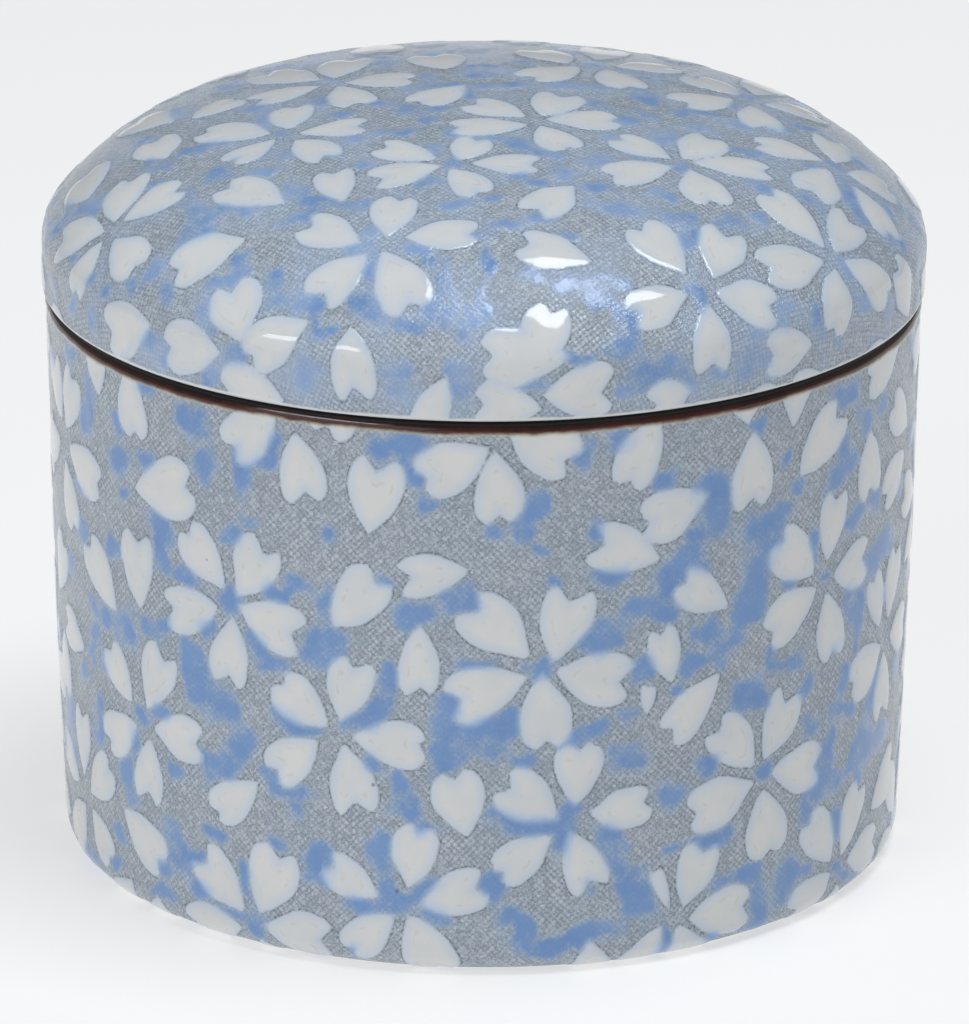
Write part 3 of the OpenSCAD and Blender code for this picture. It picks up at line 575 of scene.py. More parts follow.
def lay_print(across, up, points, petals, blues, repeat=None):
    """At every vertex, the distance inside the nearest petal's edge and the amount of blue.
    across and up are its place on the skin, and repeat is the length after which across
    starts again."""
    across = across + STRAY * wander(points, STRAY_SIZE, seed=11)
    up = up + STRAY * wander(points, STRAY_SIZE, seed=12)
    petal = np.full(len(points), -FAR)
    clear = np.ones(len(points))

    def offset(x, y):
        dx = across - x
        if repeat:
            dx = (dx + repeat / 2) % repeat - repeat / 2
        return dx, up - y

    rng = np.random.default_rng(5)
    for x0, y0, x1, y1, *width in petals:
        dx, dy = offset(x0, y0)
        near = np.hypot(dx, dy) < np.hypot(x1 - x0, y1 - y0) + FAR
        inside = petal_distance(dx[near], dy[near], x1 - x0, y1 - y0, *(width or [1]),
                                rng.uniform(-1, 1, 4))
        petal[near] = np.maximum(petal[near], inside)
    ragged_x, ragged_y = (BLUE_RAGGED * wander(points, BLUE_RAGGED_SIZE, seed)
                          for seed in (13, 14))
    for x, y, half_x, half_y in blues:
        dx, dy = offset(x, y)
        reach = np.hypot((dx + ragged_x) / (half_x + BLUE_MARGIN),
                         (dy + ragged_y) / (half_y + BLUE_MARGIN))
        near = reach < BLUE_END
        clear[near] *= 1 - soft_step(BLUE_END - reach[near], 0, BLUE_FADE)
    return np.clip(petal, -FAR, FAR), 1 - clear


# ---------------------------------------------------------------- turning an outline

def corners_between(ring, n, m):
    """The faces between a ring of n columns and the next one of m, as corners (ring, column).
    Equal rings are joined by squares, a ring and one twice as fine by three triangles for
    each coarse column, and a single point by a fan."""
    lower, upper = ring, ring + 1
    if m == 1 or n == 1:
        j = np.arange(max(n, m))
        if n == 1:
            return [], [[(lower, 0 * j), (upper, j), (upper, j + 1)]]
        return [], [[(lower, j + 1), (lower, j), (upper, 0 * j)]]
    j = np.arange(min(n, m))
    if n == m:
        return [[(lower, j), (upper, j), (upper, j + 1), (lower, j + 1)]], []
    if m == 2 * n:
        return [], [[(lower, j), (upper, 2 * j), (upper, 2 * j + 1)],
                    [(lower, j), (upper, 2 * j + 1), (lower, j + 1)],
                    [(lower, j + 1), (upper, 2 * j + 1), (upper, 2 * j + 2)]]
    return [], [[(lower, 2 * j), (upper, j), (lower, 2 * j + 1)],
                [(lower, 2 * j + 1), (upper, j), (upper, j + 1)],
                [(lower, 2 * j + 1), (upper, j + 1), (lower, 2 * j + 2)]]


class Turned:
    """An outline carried round the Z axis. The point of ring [r, z] at azimuth a is
    (r sin a, -r cos a, z), so azimuth 0 faces the front and azimuth 90 the right. An outline
    that starts at the top and runs downward outside has its faces turned over."""

    def __init__(self, outline, downward=False):
        self.downward = downward
        self.rings, self.columns, self.material, self.printed = outline.arrays()
        counts = self.columns
        self.first = np.concatenate([[0], np.cumsum(counts)[:-1]])
        self.ring_of = np.repeat(np.arange(len(counts)), counts)
        column = np.arange(counts.sum()) - self.first[self.ring_of]
        self.azimuth = 360 * column / counts[self.ring_of] - 180
        steps = np.linalg.norm(np.diff(self.rings, axis=0), axis=1)
        self.length = np.concatenate([[0], np.cumsum(steps)])
        tangent = np.gradient(self.rings, self.length, axis=0)
        side = np.stack([tangent[:, 1], -tangent[:, 0]], -1)
        side /= np.linalg.norm(side, axis=1)[:, None]
        a = np.radians(self.azimuth)
        r, z = self.rings[self.ring_of].T
        self.points = np.stack([r * np.sin(a), -r * np.cos(a), z], -1)
        out, rise = (-side if downward else side)[self.ring_of].T
        self.normals = np.stack([out * np.sin(a), -out * np.cos(a), rise], -1)

    def faces(self):
        """Corner arrays [face, corner, (ring, column)] of the squares and the triangles, and
        each one's material."""
        squares, triangles, square_mat, triangle_mat = [], [], [], []
        for ring in range(len(self.columns) - 1):
            quads, tris = corners_between(ring, self.columns[ring], self.columns[ring + 1])
            for corners, faces, mats in [(c, squares, square_mat) for c in quads] + \
                    [(c, triangles, triangle_mat) for c in tris]:
                block = np.stack([np.stack([np.full_like(j, r), j], -1) for r, j in corners], 1)
                faces.append(block)
                mats.append(np.full(len(block), self.material[ring + 1]))
        return np.concatenate(squares), np.concatenate(triangles), \
            np.concatenate(square_mat), np.concatenate(triangle_mat)

    def build(self, name, fields, print_map, bake_map):
        """Makes the mesh object. fields are values at the vertices, print_map gives the print's
        coordinates at corners and bake_map their place on the flat bake sheet."""
        squares, triangles, square_mat, triangle_mat = self.faces()
        corners = np.concatenate([squares.reshape(-1, 2), triangles.reshape(-1, 2)])
        sizes = np.concatenate([np.full(len(squares), 4), np.full(len(triangles), 3)])
        starts = np.concatenate([[0], np.cumsum(sizes)[:-1]])
        vertex = self.first[corners[:, 0]] + corners[:, 1] % self.columns[corners[:, 0]]
        if self.downward:
            order = np.repeat(starts + sizes - 1, sizes) - \
                (np.arange(len(vertex)) - np.repeat(starts, sizes))
            vertex, corners = vertex[order], corners[order]
        mesh = bpy.data.meshes.new(name)
        mesh.vertices.add(len(self.points))
        mesh.vertices.foreach_set("co", (self.points * MM).astype(np.float32).ravel())
        mesh.loops.add(len(vertex))
        mesh.loops.foreach_set("vertex_index", vertex.astype(np.int32))
        mesh.polygons.add(len(sizes))
        mesh.polygons.foreach_set("loop_start", starts.astype(np.int32))
        mesh.polygons.foreach_set("material_index",
                                  np.concatenate([square_mat, triangle_mat]).astype(np.int32))
        mesh.polygons.foreach_set("use_smooth", np.ones(len(sizes), bool))
        turn = corners[:, 1] / self.columns[corners[:, 0]]
        face = np.repeat(np.arange(len(sizes)), sizes)
        middle = (np.bincount(face, turn) / sizes)[face]
        for map_name, values in (("Print", print_map(corners[:, 0], turn)),
                                 ("OFBake", bake_map(corners[:, 0], turn, middle))):
            layer = mesh.uv_layers.new(name=map_name)
            layer.uv.foreach_set("vector", values.astype(np.float32).ravel())
        for field, values in fields.items():
            layer = mesh.attributes.new(field, "FLOAT", "POINT")
            layer.data.foreach_set("value", values.astype(np.float32))
        mesh.update()
        mesh.validate()
        piece = bpy.data.objects.new(name, mesh)
        bpy.context.scene.collection.objects.link(piece)
        return piece


def raise_glaze(turned, petal, blue, plain):
    """Sinks the ground below the petals: each petal's edge is a soft shoulder about half a
    millimetre wide, the petals are slightly pillowed, and blue lies a little proud. The print
    fades out where the skin is plain."""
    shoulder = soft_step(petal, *PETAL_SHOULDER)
    pillow = PILLOW_START + (1 - PILLOW_START) * soft_step(petal, *PILLOW_STEP)
    rise = np.maximum(PETAL_RISE * shoulder * pillow, BLUE_RISE * soft_step(blue, *BLUE_STEP))
    rise = rise + (PETAL_RISE - rise) * plain
    uneven = WOBBLE * (wander(turned.points, WOBBLE_SIZE, seed=21) - 1)
    on_print = turned.printed[turned.ring_of]
    shift = np.where(on_print, rise - PETAL_RISE + uneven * (1 - plain), 0)
    turned.points = turned.points + turned.normals * shift[:, None]


# ---------------------------------------------------------------- the two pieces

IRON_EDGE = 1.05          # how far the iron coat runs down from the rim
IRON_WAVE = 0.1           # how far its edge rises and falls in long waves
IRON_WAVE_SIZE = 9
IRON_RIPPLE = 0.05        # and in short ones
IRON_RIPPLE_SIZE = 2.5
IRON_FADE = 0.3           # how far below its edge the raised print is gone
NO_IRON = -1.0
LID_BAND = 0.1            # width of the plain white band along the lid's lower edge
LID_BAND_WAVE = 0.15
LID_BAND_WAVE_SIZE = 11
LID_BAND_SOFT = 0.35      # half the width over which the print fades into it
LID_BLUE = 0.84           # the lid's blue is thinner than the jar's, as a share of it
SCREEN_PITCH = 0.52       # spacing of the printed screen's rows

# The flat sheets that the looks are baked on, 1 wide and 1 high. A strip is its lower or left
# edge and its width.
SHEET_MARGIN = 0.005
JAR_LEFT_STRIP = 0.01, 0.37
JAR_RIGHT_STRIP = 0.40, 0.37
JAR_INSIDE_STRIP = 0.79, 0.13
JAR_UNDER_STRIP = 0.93, 0.06
LID_DISC_MIDDLE = 0.41
LID_DISC_R = 0.405
LID_INSIDE_STRIP = 0.83, 0.16


def on_strip(strip, share):
    """The place at that share of a strip's width."""
    start, width = strip
    return start + width * share


def within_margin(share):
    """The place at that share of the sheet, which keeps clear of the sheet's edges."""
    return SHEET_MARGIN + (1 - 2 * SHEET_MARGIN) * share


def make_jar():
    """The jar. Its print is a band: across is the length round the skin and up is the height,
    which goes on along the skin below the side and over the rim."""
    turned = Turned(jar_outline())
    ring, az = turned.ring_of, turned.azimuth
    from_side = np.where(turned.printed, np.abs(turned.rings[:, 1] - BASE_ROUND), np.inf)
    side_start = np.argmin(from_side)
    up_of_ring = turned.length - turned.length[side_start] + BASE_ROUND
    up = up_of_ring[ring]
    around_skin = np.radians(az) * JAR_SKIN_R
    petal, blue = lay_print(around_skin, up, turned.points, JAR_PETALS, JAR_BLUES, JAR_REPEAT)
    rim_edge = JAR_H - IRON_EDGE + IRON_WAVE * wander(turned.points, IRON_WAVE_SIZE, seed=31) \
        + IRON_RIPPLE * wander(turned.points, IRON_RIPPLE_SIZE, seed=32)
    iron = turned.points[:, 2] - rim_edge
    inner = turned.points[:, 2] > JAR_H - RIM_ROUND
    on_print = turned.printed[ring]
    iron = np.where(on_print | inner, iron, NO_IRON)
    plain = soft_step(iron, -IRON_FADE, 0.0)
    petal = np.where(on_print, petal, FAR)
    raise_glaze(turned, petal, blue, plain)

    # The screen's rows run at 45 degrees, so the print repeats every pitch * sqrt 2 across
    screen_repeat = SCREEN_PITCH * np.sqrt(2)
    around = np.round(2 * JAR_REPEAT / screen_repeat) * screen_repeat

    def print_map(ring, turn):
        return np.stack([turn * around, up_of_ring[ring]], -1)

    low = np.flatnonzero(turned.printed)[0]
    high = np.flatnonzero(turned.printed)[-1]
    total = turned.length[-1]

    def bake_map(ring, turn, middle):
        """The printed side as two strips one above the other, each half a turn long, then the
        inside and the underside as shorter strips."""
        s = turned.length[ring]
        side = (s - turned.length[low]) / (turned.length[high] - turned.length[low])
        left = middle < 0.5
        u = np.where(left, turn * 2, turn * 2 - 1)
        v = np.where(left, on_strip(JAR_LEFT_STRIP, side), on_strip(JAR_RIGHT_STRIP, side))
        inside = s > turned.length[high]
        under = s < turned.length[low]
        u = np.where(inside | under, turn, u)
        inside_share = (s - turned.length[high]) / (total - turned.length[high])
        v = np.where(inside, on_strip(JAR_INSIDE_STRIP, inside_share), v)
        v = np.where(under, on_strip(JAR_UNDER_STRIP, s / turned.length[low]), v)
        return np.stack([within_margin(u), v], -1)

    return turned.build("jar_glazed", {"petal": petal, "blue": blue, "iron": iron},
                        print_map, bake_map)


def make_lid():
    """The lid. Its print is a disc: a place on the skin is its distance from the middle of the
    crown along the skin, laid out flat at its own azimuth."""
    turned = Turned(lid_outline(), downward=True)
    ring, a = turned.ring_of, np.radians(turned.azimuth)
    s = turned.length[ring]
    petal, blue = lay_print(s * np.sin(a), -s * np.cos(a), turned.points, LID_PETALS, LID_BLUES)
    on_print = turned.printed[ring]
    edge = turned.length[np.flatnonzero(turned.printed)[-1]]
    band_wave = LID_BAND_WAVE * wander(turned.points, LID_BAND_WAVE_SIZE, seed=41)
    band_top = edge - EDGE_ROUND - LID_BAND + band_wave
    plain = soft_step(s, band_top - LID_BAND_SOFT, band_top + LID_BAND_SOFT)
    plain = np.where(on_print, plain, 1.0)
    petal = np.where(on_print, petal, FAR)
    raise_glaze(turned, petal, blue, plain)

    def print_map(ring, turn):
        a = np.radians(360 * turn - 180)
        return turned.length[ring][:, None] * np.stack([np.sin(a), -np.cos(a)], -1)

    total = turned.length[-1]

    def bake_map(ring, turn, middle):
        """The printed skin as a disc, and the rest as a strip beside it."""
        s = turned.length[ring]
        a = np.radians(360 * turn - 180)
        radius = LID_DISC_R * s / edge
        disc = LID_DISC_MIDDLE + radius[:, None] * np.stack([np.sin(a), -np.cos(a)], -1)
        inside_share = (s - edge) / (total - edge)
        strip = np.stack([on_strip(LID_INSIDE_STRIP, inside_share), within_margin(turn)], -1)
        return np.where((s <= edge)[:, None], disc, strip)

    return turned.build("lid_glazed", {"petal": petal, "blue": LID_BLUE * blue, "plain": plain},
                        print_map, bake_map)


# ---------------------------------------------------------------- materials

# Colours, as shares of red, green and blue light. A pair is mixed in slow patches.
GROUND_DARK = (0.218, 0.265, 0.320), (0.25, 0.288, 0.330)
GROUND_LIGHT = (0.485, 0.550, 0.635), (0.55, 0.600, 0.665)
# pale specks that are painted glints, painted highlights on the glaze's tiny bumps
PAINTED_GLINT = (0.72, 0.76, 0.80)
COBALT = (0.105, 0.235, 0.52), (0.19, 0.34, 0.62)
COBALT_THIN = (0.25, 0.38, 0.60)
EDGE_LINE = (0.085, 0.125, 0.14)
CREAM = (0.670, 0.685, 0.69), (0.705, 0.695, 0.68)
PALE_HALO = (0.48, 0.60, 0.75)
BUFF_LINE = (0.50, 0.47, 0.42)
COOL_PATCH = (0.93, 0.95, 0.97)
SPECK = (0.10, 0.075, 0.06)
OLIVE = (0.36, 0.30, 0.15), (0.56, 0.52, 0.36)
OLIVE_BROWN = (0.17, 0.085, 0.03)
IRON_BROWN = (0.010, 0.002, 0.0015), (0.085, 0.013, 0.007)
# painted shade on the iron coat, under the lid's overhanging edge
IRON_PAINTED_SHADE = (0.003, 0.001, 0.001)
LID_WASH = (0.40, 0.52, 0.74)
LID_EDGE_WHITE = (0.63, 0.665, 0.675), (0.69, 0.70, 0.69)
INSIDE_WHITE = (0.78, 0.785, 0.765), (0.70, 0.725, 0.705)
INSIDE_SPECK = (0.12, 0.085, 0.06)
CLAY_BUFF = (0.52, 0.45, 0.36), (0.62, 0.57, 0.49)
CLAY_GREY = (0.36, 0.31, 0.26)

# The glaze
GLAZE_IOR = 1.52
GLAZE_ROUGHNESS = 0.08, 0.11      # over petals and blue, and over the bare screen
SWELL_HEIGHT = 0.05
PEEL_HEIGHT = 0.004
PINHOLE_DEPTH = 0.03
PINHOLES_PER_MM = 0.16
PINHOLES_KEPT_ABOVE = 0.64        # of a soft random value from 0 to 1

# The screen
ROW_WAVER = 0.22
SCREEN_GRAIN = 2.2
DOT_CHANCE = 0.5
PROUD_DOTS_POWER = 5              # the higher it is, the fewer dots stand proud
SCREEN_HEIGHT = 0.095

# The petals and the blue
PETAL_EDGE_STRAY = 0.16
PETAL_EDGE_SOFTNESS = 0.17, 0.6   # on the ground, and on blue
LINE_OUTSIDE = 0.13               # how far outside a petal's edge its dark line runs
LINE_STRENGTH = 0.7
BUFF_LINE_INSIDE = 1.15
BLUE_CLOUD = 1.0
BLUE_GRAIN = 0.5
BLUE_COVER = 0.94

# The iron coat
IRON_STRAY = 0.22
FRINGE_STRENGTH = 0.8


class Nodes:
    """Short ways to add nodes to a material or a group. A value may be a number, a colour or
    another node's output."""

    def __init__(self, tree):
        self.tree = tree

    def add(self, kind, **settings):
        node = self.tree.nodes.new(kind)
        for name, value in settings.items():
            setattr(node, name, value)
        return node

    def feed(self, socket, value):
        if isinstance(value, bpy.types.NodeSocket):
            self.tree.links.new(value, socket)
        elif isinstance(value, tuple) and len(value) == 3 and socket.type == "RGBA":
            socket.default_value = (*value, 1)
        else:
            socket.default_value = value

    def math(self, operation, a, b=0.0):
        node = self.add("ShaderNodeMath", operation=operation)
        self.feed(node.inputs[0], a)
        self.feed(node.inputs[1], b)
        return node.outputs[0]

    def plus(self, a, b):
        return self.math("ADD", a, b)

    def minus(self, a, b):
        return self.math("SUBTRACT", a, b)

    def times(self, a, b):
        return self.math("MULTIPLY", a, b)

    def rest(self, share):
        """What a share leaves of the whole: 1 - share."""
        return self.minus(1.0, share)

    def soft(self, value, low, high, start=0.0, end=1.0):
        """start below low, end above high, and a smooth S between them."""
        node = self.add("ShaderNodeMapRange", interpolation_type="SMOOTHSTEP")
        for socket, v in zip(node.inputs, (value, low, high, start, end)):
            self.feed(socket, v)
        return node.outputs[0]

    def mix(self, share, a, b, blend="MIX"):
        node = self.add("ShaderNodeMix", data_type="RGBA", blend_type=blend)
        self.feed(node.inputs[0], share)
        self.feed(node.inputs[6], a)
        self.feed(node.inputs[7], b)
        return node.outputs[2]

    def between(self, share, a, b):
        """The number that lies that share of the way from a to b."""
        node = self.add("ShaderNodeMix", data_type="FLOAT")
        self.feed(node.inputs[0], share)
        self.feed(node.inputs[2], a)
        self.feed(node.inputs[3], b)
        return node.outputs[0]

    def place(self):
        return self.add("ShaderNodeTexCoord").outputs["Object"]

    def noise(self, where, per_mm, detail=2.0, roughness=0.5):
        """Soft random value from 0 to 1, with about per_mm features a millimetre."""
        node = self.add("ShaderNodeTexNoise")
        self.feed(node.inputs["Vector"], where)
        self.feed(node.inputs["Scale"], per_mm * PER_MM)
        self.feed(node.inputs["Detail"], detail)
        self.feed(node.inputs["Roughness"], roughness)
        return node.outputs["Fac"]

    def stray(self, where, per_mm, detail, spread):
        """Soft random value around 0, with its whole range about spread."""
        return self.times(self.minus(self.noise(where, per_mm, detail), 0.5), spread)

    def field(self, name):
        return self.add("ShaderNodeAttribute", attribute_name=name).outputs["Fac"]

    def group(self, tree, **inputs):
        node = self.add("ShaderNodeGroup", node_tree=tree)
        for name, value in inputs.items():
            self.feed(node.inputs[name.replace("_", " ")], value)
        return node.outputs


def new_group(name, inputs, outputs):
    """An empty node group. inputs and outputs are {name: "Float", "Color" or "Vector"}."""
    tree = bpy.data.node_groups.new(name, "ShaderNodeTree")
    for side, sockets in (("INPUT", inputs), ("OUTPUT", outputs)):
        for socket, kind in sockets.items():
            tree.interface.new_socket(socket, in_out=side, socket_type="NodeSocket" + kind)
    n = Nodes(tree)
    return tree, n, n.add("NodeGroupInput").outputs, n.add("NodeGroupOutput").inputs


def glaze_skin_group():
    """The surface of any fired glaze: a slow swell, fine orange peel and a few pinholes as a
    height in millimetres, a slow tone from 0 to 1, and a mask of tiny iron specks."""
    tree, n, _, out = new_group("Glaze skin", {}, {"Height": "Float", "Tone": "Float",
                                                  "Specks": "Float"})
    where = n.place()
    swell = n.noise(where, 0.12, 2)
    peel = n.noise(where, 0.9, 2)
    tone = n.noise(where, 0.22, 3)
    fine = n.add("ShaderNodeTexVoronoi", feature="F1")
    n.feed(fine.inputs["Vector"], where)
    n.feed(fine.inputs["Scale"], PINHOLES_PER_MM * PER_MM)
    pit = n.soft(fine.outputs["Distance"], 0.03, 0.05, 1, 0)
    kept = n.math("GREATER_THAN", n.noise(where, 0.35, 0), PINHOLES_KEPT_ABOVE)
    height = n.plus(n.times(swell, SWELL_HEIGHT), n.times(peel, PEEL_HEIGHT))
    height = n.minus(height, n.times(n.times(pit, kept), PINHOLE_DEPTH))
    n.feed(out["Height"], height)
    n.feed(out["Tone"], tone)
    n.feed(out["Specks"], n.times(pit, kept))
    return tree


def screen_group():
    """The printed screen: rows of round dots at 45 degrees to the print's own axes, which is
    the mean of two cosine waves. Its rows waver, its dots differ, and parts of it are smudged.
    Gives a tone from 0, between the dots, to 1, on them, and the same as a height."""
    tree, n, inp, out = new_group("Screen print", {"Print": "Vector"},
                                  {"Tone": "Float", "Height": "Float"})
    split = n.add("ShaderNodeSeparateXYZ")
    n.feed(split.inputs[0], inp["Print"])
    u, v = split.outputs[0], split.outputs[1]
    where = n.place()
    u = n.plus(u, n.stray(where, 1.1, 1, ROW_WAVER))
    v = n.plus(v, n.stray(where, 1.3, 1, ROW_WAVER))
    per = 1 / (SCREEN_PITCH * np.sqrt(2))
    a = n.times(n.plus(u, v), per)
    b = n.times(n.minus(u, v), per)
    waves = [n.math("COSINE", n.times(x, 2 * np.pi)) for x in (a, b)]
    dots = n.times(n.plus(*waves), 0.25)
    cell = n.add("ShaderNodeCombineXYZ")
    n.feed(cell.inputs[0], n.math("ROUND", a))
    n.feed(cell.inputs[1], n.math("ROUND", b))
    chance = n.add("ShaderNodeTexWhiteNoise", noise_dimensions="2D")
    n.feed(chance.inputs["Vector"], cell.outputs[0])
    chance = chance.outputs["Value"]
    smudge = n.soft(n.noise(where, 0.3, 2), 0.35, 0.65, 0.3, 0.8)
    grain = n.stray(where, 4.8, 2, SCREEN_GRAIN)
    spread = n.times(n.minus(chance, 0.5), DOT_CHANCE)
    raw = n.plus(n.plus(n.times(dots, smudge), grain), spread)
    tone = n.soft(raw, -0.8, 0.85)
    proud = n.math("POWER", chance, PROUD_DOTS_POWER)
    n.feed(out["Tone"], tone)
    n.feed(out["Height"], n.times(n.plus(tone, proud), SCREEN_HEIGHT))
    return tree


def print_group(screen):
    """The whole print under the glaze: screened ground, soft blue and petals. The edge of a
    petal is crisp, with a broken dark line, on the ground, and melts where it meets blue. A
    pale halo lies along it inside, and a faint buff line here and there."""
    tree, n, inp, out = new_group(
        "Petal print", {"Print": "Vector", "Petal": "Float", "Blue": "Float"},
        {"Color": "Color", "Roughness": "Float", "Height": "Float"})
    where = n.place()
    print_screen = n.group(screen, Print=inp["Print"])
    petal = n.plus(inp["Petal"], n.stray(where, 2.2, 2, PETAL_EDGE_STRAY))
    cloud = n.stray(where, 0.45, 3, BLUE_CLOUD)
    grain = n.stray(where, 3.2, 2, BLUE_GRAIN)
    blue = n.soft(n.plus(inp["Blue"], n.plus(cloud, grain)), 0.14, 1.12)

    dark = n.mix(n.noise(where, 0.25, 2), *GROUND_DARK)
    light = n.mix(n.noise(where, 0.4, 2), *GROUND_LIGHT)
    ground = n.mix(print_screen["Tone"], dark, light)
    # Pale specks on the ground are painted glints: painted highlights of the glaze's tiny bumps
    painted_glint = n.soft(n.noise(where, 4.0, 1), 0.64, 0.74, 0, 0.6)
    ground = n.mix(painted_glint, ground, PAINTED_GLINT)
    deep = n.mix(n.noise(where, 0.3, 3), *COBALT)
    washed = n.mix(n.soft(blue, 0.4, 1.0), COBALT_THIN, deep)
    back = n.mix(n.times(blue, BLUE_COVER), ground, washed)

    line = n.soft(n.math("ABSOLUTE", n.plus(petal, LINE_OUTSIDE)), 0.02, 0.14, 1, 0)
    broken = n.soft(n.noise(where, 2.8, 1), 0.42, 0.60)
    line = n.times(n.times(line, broken), n.rest(blue))
    back = n.mix(n.times(line, LINE_STRENGTH), back, EDGE_LINE)

    softness = n.between(blue, *PETAL_EDGE_SOFTNESS)
    inside = n.soft(n.math("DIVIDE", petal, softness), -1, 1)
    cream = n.mix(n.noise(where, 0.35, 3), *CREAM)
    halo = n.times(n.soft(petal, 0.1, 1.7, 1, 0), blue)
    halo = n.math("MAXIMUM", halo, n.soft(petal, 0.0, 1.3, 0.55, 0))
    sketched = n.soft(n.math("ABSOLUTE", n.minus(petal, BUFF_LINE_INSIDE)), 0.04, 0.2, 0.35, 0)
    sketched = n.times(sketched, n.soft(n.noise(where, 0.9, 3), 0.5, 0.68))
    cream = n.mix(sketched, cream, BUFF_LINE)
    white = n.mix(halo, cream, PALE_HALO)
    n.feed(out["Color"], n.mix(inside, back, white))
    bare = n.times(n.rest(inside), n.rest(blue))
    n.feed(out["Roughness"], n.between(bare, *GLAZE_ROUGHNESS))
    n.feed(out["Height"], n.times(print_screen["Height"], bare))
    return tree


def new_material(name):
    material = bpy.data.materials.new(name)
    material.use_nodes = True
    n = Nodes(material.node_tree)
    shader = material.node_tree.nodes["Principled BSDF"]
    return material, n, shader


def bump(n, shader, height):
    """Feeds a height in millimetres to the shader as a bump."""
    node = n.add("ShaderNodeBump")
    node.inputs["Strength"].default_value = 1
    node.inputs["Distance"].default_value = MM
    n.feed(node.inputs["Height"], height)
    n.feed(shader.inputs["Normal"], node.outputs[0])


def printed_glaze(name, skin, whole_print, finish):
    """Clear glossy glaze over the print. finish(n, color, roughness, height) lays on what
    differs between the jar and the lid and gives the three back."""
    material, n, shader = new_material(name)
    uv = n.add("ShaderNodeUVMap", uv_map="Print").outputs[0]
    laid = n.group(whole_print, Print=uv, Petal=n.field("petal"), Blue=n.field("blue"))
    surface = n.group(skin)
    color = n.mix(n.soft(surface["Tone"], 0.3, 0.7), laid["Color"],
                  n.mix(1.0, laid["Color"], COOL_PATCH, "MULTIPLY"))
    color = n.mix(n.times(surface["Specks"], 0.6), color, SPECK)
    color, roughness, height = finish(n, color, laid["Roughness"], laid["Height"])
    n.feed(shader.inputs["Base Color"], color)
    n.feed(shader.inputs["Roughness"], roughness)
    shader.inputs["IOR"].default_value = GLAZE_IOR
    bump(n, shader, n.plus(height, surface["Height"]))
    return material


def jar_finish(n, color, roughness, height):
    """What only the jar has, the iron coat over the rim: red-brown, nearly black towards the rim's
    top as painted shade under the lid's edge, with an olive fringe where it runs thin into the
    white."""
    where = n.place()
    iron = n.plus(n.field("iron"), n.stray(where, 1.2, 3, IRON_STRAY))
    fringe = n.soft(iron, -0.55, -0.08)
    olive = n.mix(n.noise(where, 0.35, 2), *OLIVE)
    olive = n.mix(n.soft(iron, -0.35, -0.02), olive, OLIVE_BROWN)
    brown = n.mix(n.noise(where, 0.8, 3), *IRON_BROWN)
    # Painted shade: the iron turns nearly black towards the rim's top, where the lid's edge
    # overhangs it
    brown = n.mix(n.soft(iron, 0.25, 0.75), brown, IRON_PAINTED_SHADE)
    color = n.mix(n.times(fringe, FRINGE_STRENGTH), color, olive)
    cover = n.soft(iron, -0.10, 0.10)
    color = n.mix(cover, color, brown)
    iron_roughness = n.soft(n.noise(where, 1.5, 2), 0.3, 0.7, 0.08, 0.22)
    roughness = n.between(cover, roughness, iron_roughness)
    return color, roughness, n.times(height, n.rest(fringe))


def lid_finish(n, color, roughness, height):
    """What only the lid has: the blue has run thinly over parts of it, and a plain white band
    lies along its lower edge."""
    where = n.place()
    plain = n.soft(n.plus(n.field("plain"), n.stray(where, 0.9, 2, 0.5)), 0.3, 0.8)
    run = n.soft(n.noise(where, 0.16, 3), 0.38, 0.66, 0.0, 0.38)
    run = n.times(run, n.soft(n.field("petal"), -0.2, 0.3, 1.0, 0.15))
    color = n.mix(run, color, LID_WASH)
    color = n.mix(plain, color, n.mix(n.noise(where, 0.3, 2), *LID_EDGE_WHITE))
    roughness = n.between(plain, roughness, 0.09)
    return color, roughness, n.times(height, n.rest(plain))


def white_glaze(skin):
    """The plain glaze inside the jar and the lid, faintly grey-green where it pools."""
    material, n, shader = new_material("white_glaze")
    surface = n.group(skin)
    color = n.mix(n.soft(surface["Tone"], 0.3, 0.75), *INSIDE_WHITE)
    color = n.mix(n.times(surface["Specks"], 0.7), color, INSIDE_SPECK)
    n.feed(shader.inputs["Base Color"], color)
    n.feed(shader.inputs["Roughness"], n.soft(surface["Tone"], 0.3, 0.8, 0.07, 0.14))
    shader.inputs["IOR"].default_value = GLAZE_IOR
    bump(n, shader, surface["Height"])
    return material


def bare_clay():
    """Unglazed fired clay: pale buff, rubbed grey on the high grains, dry and sandy."""
    material, n, shader = new_material("bare_clay")
    where = n.place()
    grain = n.noise(where, 3.5, 4, 0.6)
    patches = n.noise(where, 0.18, 3)
    color = n.mix(patches, *CLAY_BUFF)
    color = n.mix(n.soft(grain, 0.55, 0.75), color, CLAY_GREY)
    n.feed(shader.inputs["Base Color"], color)
    n.feed(shader.inputs["Roughness"], n.soft(grain, 0.3, 0.7, 0.7, 0.92))
    bump(n, shader, n.times(grain, 0.05))
    return material


def give_materials(jar, lid):
    skin = glaze_skin_group()
    whole_print = print_group(screen_group())
    white, clay = white_glaze(skin), bare_clay()
    for piece, name, finish in ((jar, "jar_printed_glaze", jar_finish),
                                (lid, "lid_printed_glaze", lid_finish)):
        for material in (printed_glaze(name, skin, whole_print, finish), white, clay):
            piece.data.materials.append(material)


# ---------------------------------------------------------------- camera, floor and lights

CAMERA_AWAY = 1.0          # metres
CAMERA_RISE = 19.35
CAMERA_ROLL = 0.27
CAMERA_AIM = (0.0002, 0.0, 0.0335)
CAMERA_LENS = 347.4
CAMERA_SENSOR = 36         # along the longer side
CAMERA_CLIP = 0.05, 20     # metres

FLOOR_HALF = 3.0           # metres
FLOOR_GREY = 0.45
FLOOR_ROUGHNESS = 0.7
FLOOR_GLOW = 0.54

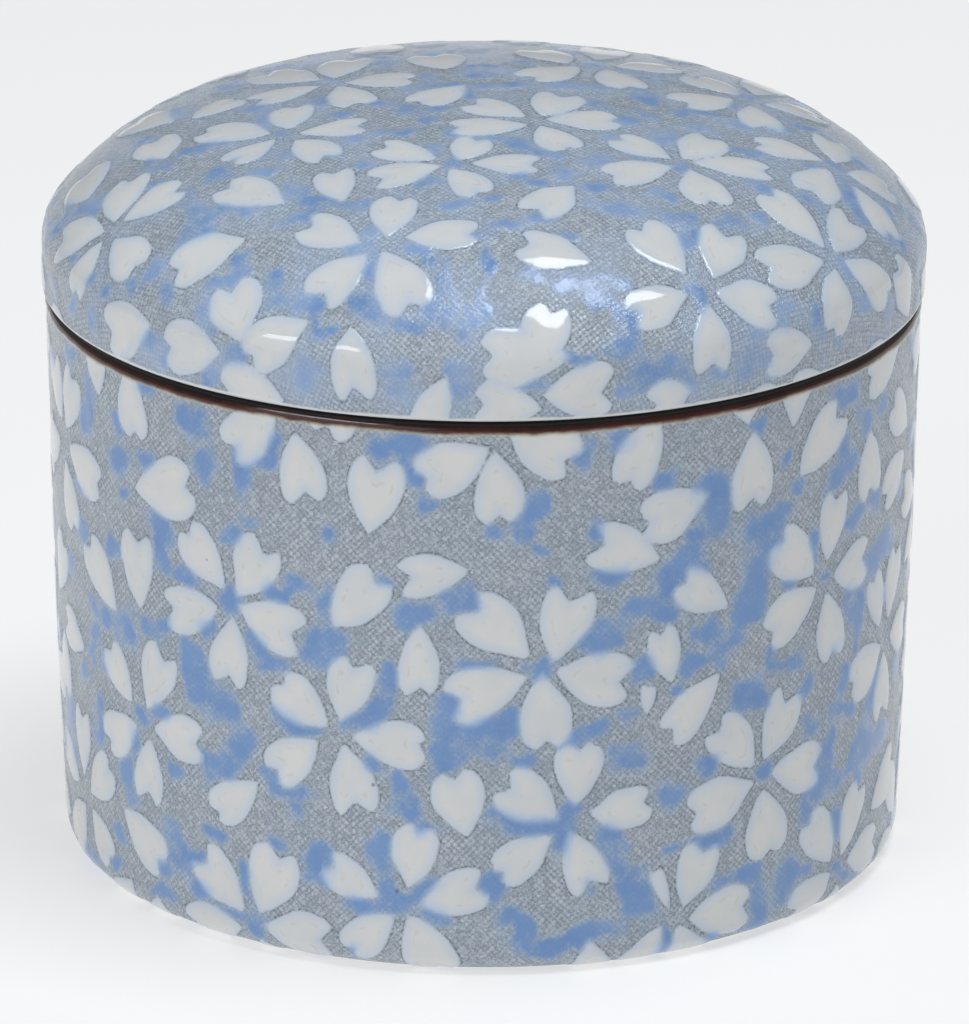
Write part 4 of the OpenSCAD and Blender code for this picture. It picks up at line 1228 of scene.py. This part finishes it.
# Each light's azimuth and height angle, its distance, width and height in metres, and watts
OVERHEAD = 60, 77, 0.9, 0.42, 0.42, 4.7
OVERHEAD_COLOUR = (0.92, 0.965, 1)
WINDOW = -45, 33, 1.0, 0.5, 0.16, 1.6
ROOM_WALL = -38, 12, 1.8, 1.6, 1.2, 5.2
ROOM_COLOUR = (0.97, 0.985, 1, 1)
ROOM_STRENGTH = 0.25


def look(azimuth, rise, away, aim):
    """A place away metres from aim, seen from it at that azimuth and height angle, and the
    rotation that faces aim from there."""
    a, e = np.radians(azimuth), np.radians(rise)
    back = Vector((np.sin(a) * np.cos(e), -np.cos(a) * np.cos(e), np.sin(e)))
    return Matrix.Translation(Vector(aim) + back * away) @ back.to_track_quat("Z", "Y") \
        .to_matrix().to_4x4()


def make_camera():
    data = bpy.data.cameras.new("camera")
    data.lens = CAMERA_LENS
    data.sensor_width = CAMERA_SENSOR
    data.clip_start, data.clip_end = CAMERA_CLIP
    camera = bpy.data.objects.new("camera", data)
    camera.matrix_world = look(0, CAMERA_RISE, CAMERA_AWAY, CAMERA_AIM) \
        @ Matrix.Rotation(np.radians(CAMERA_ROLL), 4, "Z")
    bpy.context.scene.collection.objects.link(camera)
    bpy.context.scene.camera = camera


def make_floor():
    """A wide pale floor, faintly lit from within as a light table is."""
    half = FLOOR_HALF
    mesh = bpy.data.meshes.new("floor")
    corners = [(-half, -half, 0), (half, -half, 0), (half, half, 0), (-half, half, 0)]
    mesh.from_pydata(corners, [], [(0, 1, 2, 3)])
    floor = bpy.data.objects.new("floor", mesh)
    bpy.context.scene.collection.objects.link(floor)
    material, _, shader = new_material("floor")
    shader.inputs["Base Color"].default_value = (FLOOR_GREY, FLOOR_GREY, FLOOR_GREY, 1)
    shader.inputs["Roughness"].default_value = FLOOR_ROUGHNESS
    shader.inputs["Emission Color"].default_value = (1, 1, 1, 1)
    shader.inputs["Emission Strength"].default_value = FLOOR_GLOW
    mesh.materials.append(material)


def soft_light(name, azimuth, rise, away, width, height, watts, colour=(1, 1, 1)):
    data = bpy.data.lights.new(name, "AREA")
    data.shape = "RECTANGLE"
    data.size, data.size_y = width, height
    data.energy = watts
    data.color = colour
    light = bpy.data.objects.new(name, data)
    light.matrix_world = look(azimuth, rise, away, CAMERA_AIM)
    bpy.context.scene.collection.objects.link(light)


def make_lights():
    """A bright overhead box, a low wide window and a large dim wall at the left front, and an
    even room."""
    soft_light("overhead", *OVERHEAD, OVERHEAD_COLOUR)
    soft_light("window", *WINDOW)
    soft_light("room wall", *ROOM_WALL)
    world = bpy.data.worlds.new("room")
    world.use_nodes = True
    background = world.node_tree.nodes["Background"]
    background.inputs["Color"].default_value = ROOM_COLOUR
    background.inputs["Strength"].default_value = ROOM_STRENGTH
    bpy.context.scene.world = world
    bpy.context.scene.view_settings.view_transform = "Standard"
    bpy.context.scene.view_settings.look = "None"


# ---------------------------------------------------------------- the scene

make_camera()
jar = make_jar()
lid = make_lid()
give_materials(jar, lid)

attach(jar, "jar_body")
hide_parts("jar")
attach(lid, "lid_body")
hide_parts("lid")

make_floor()
make_lights()
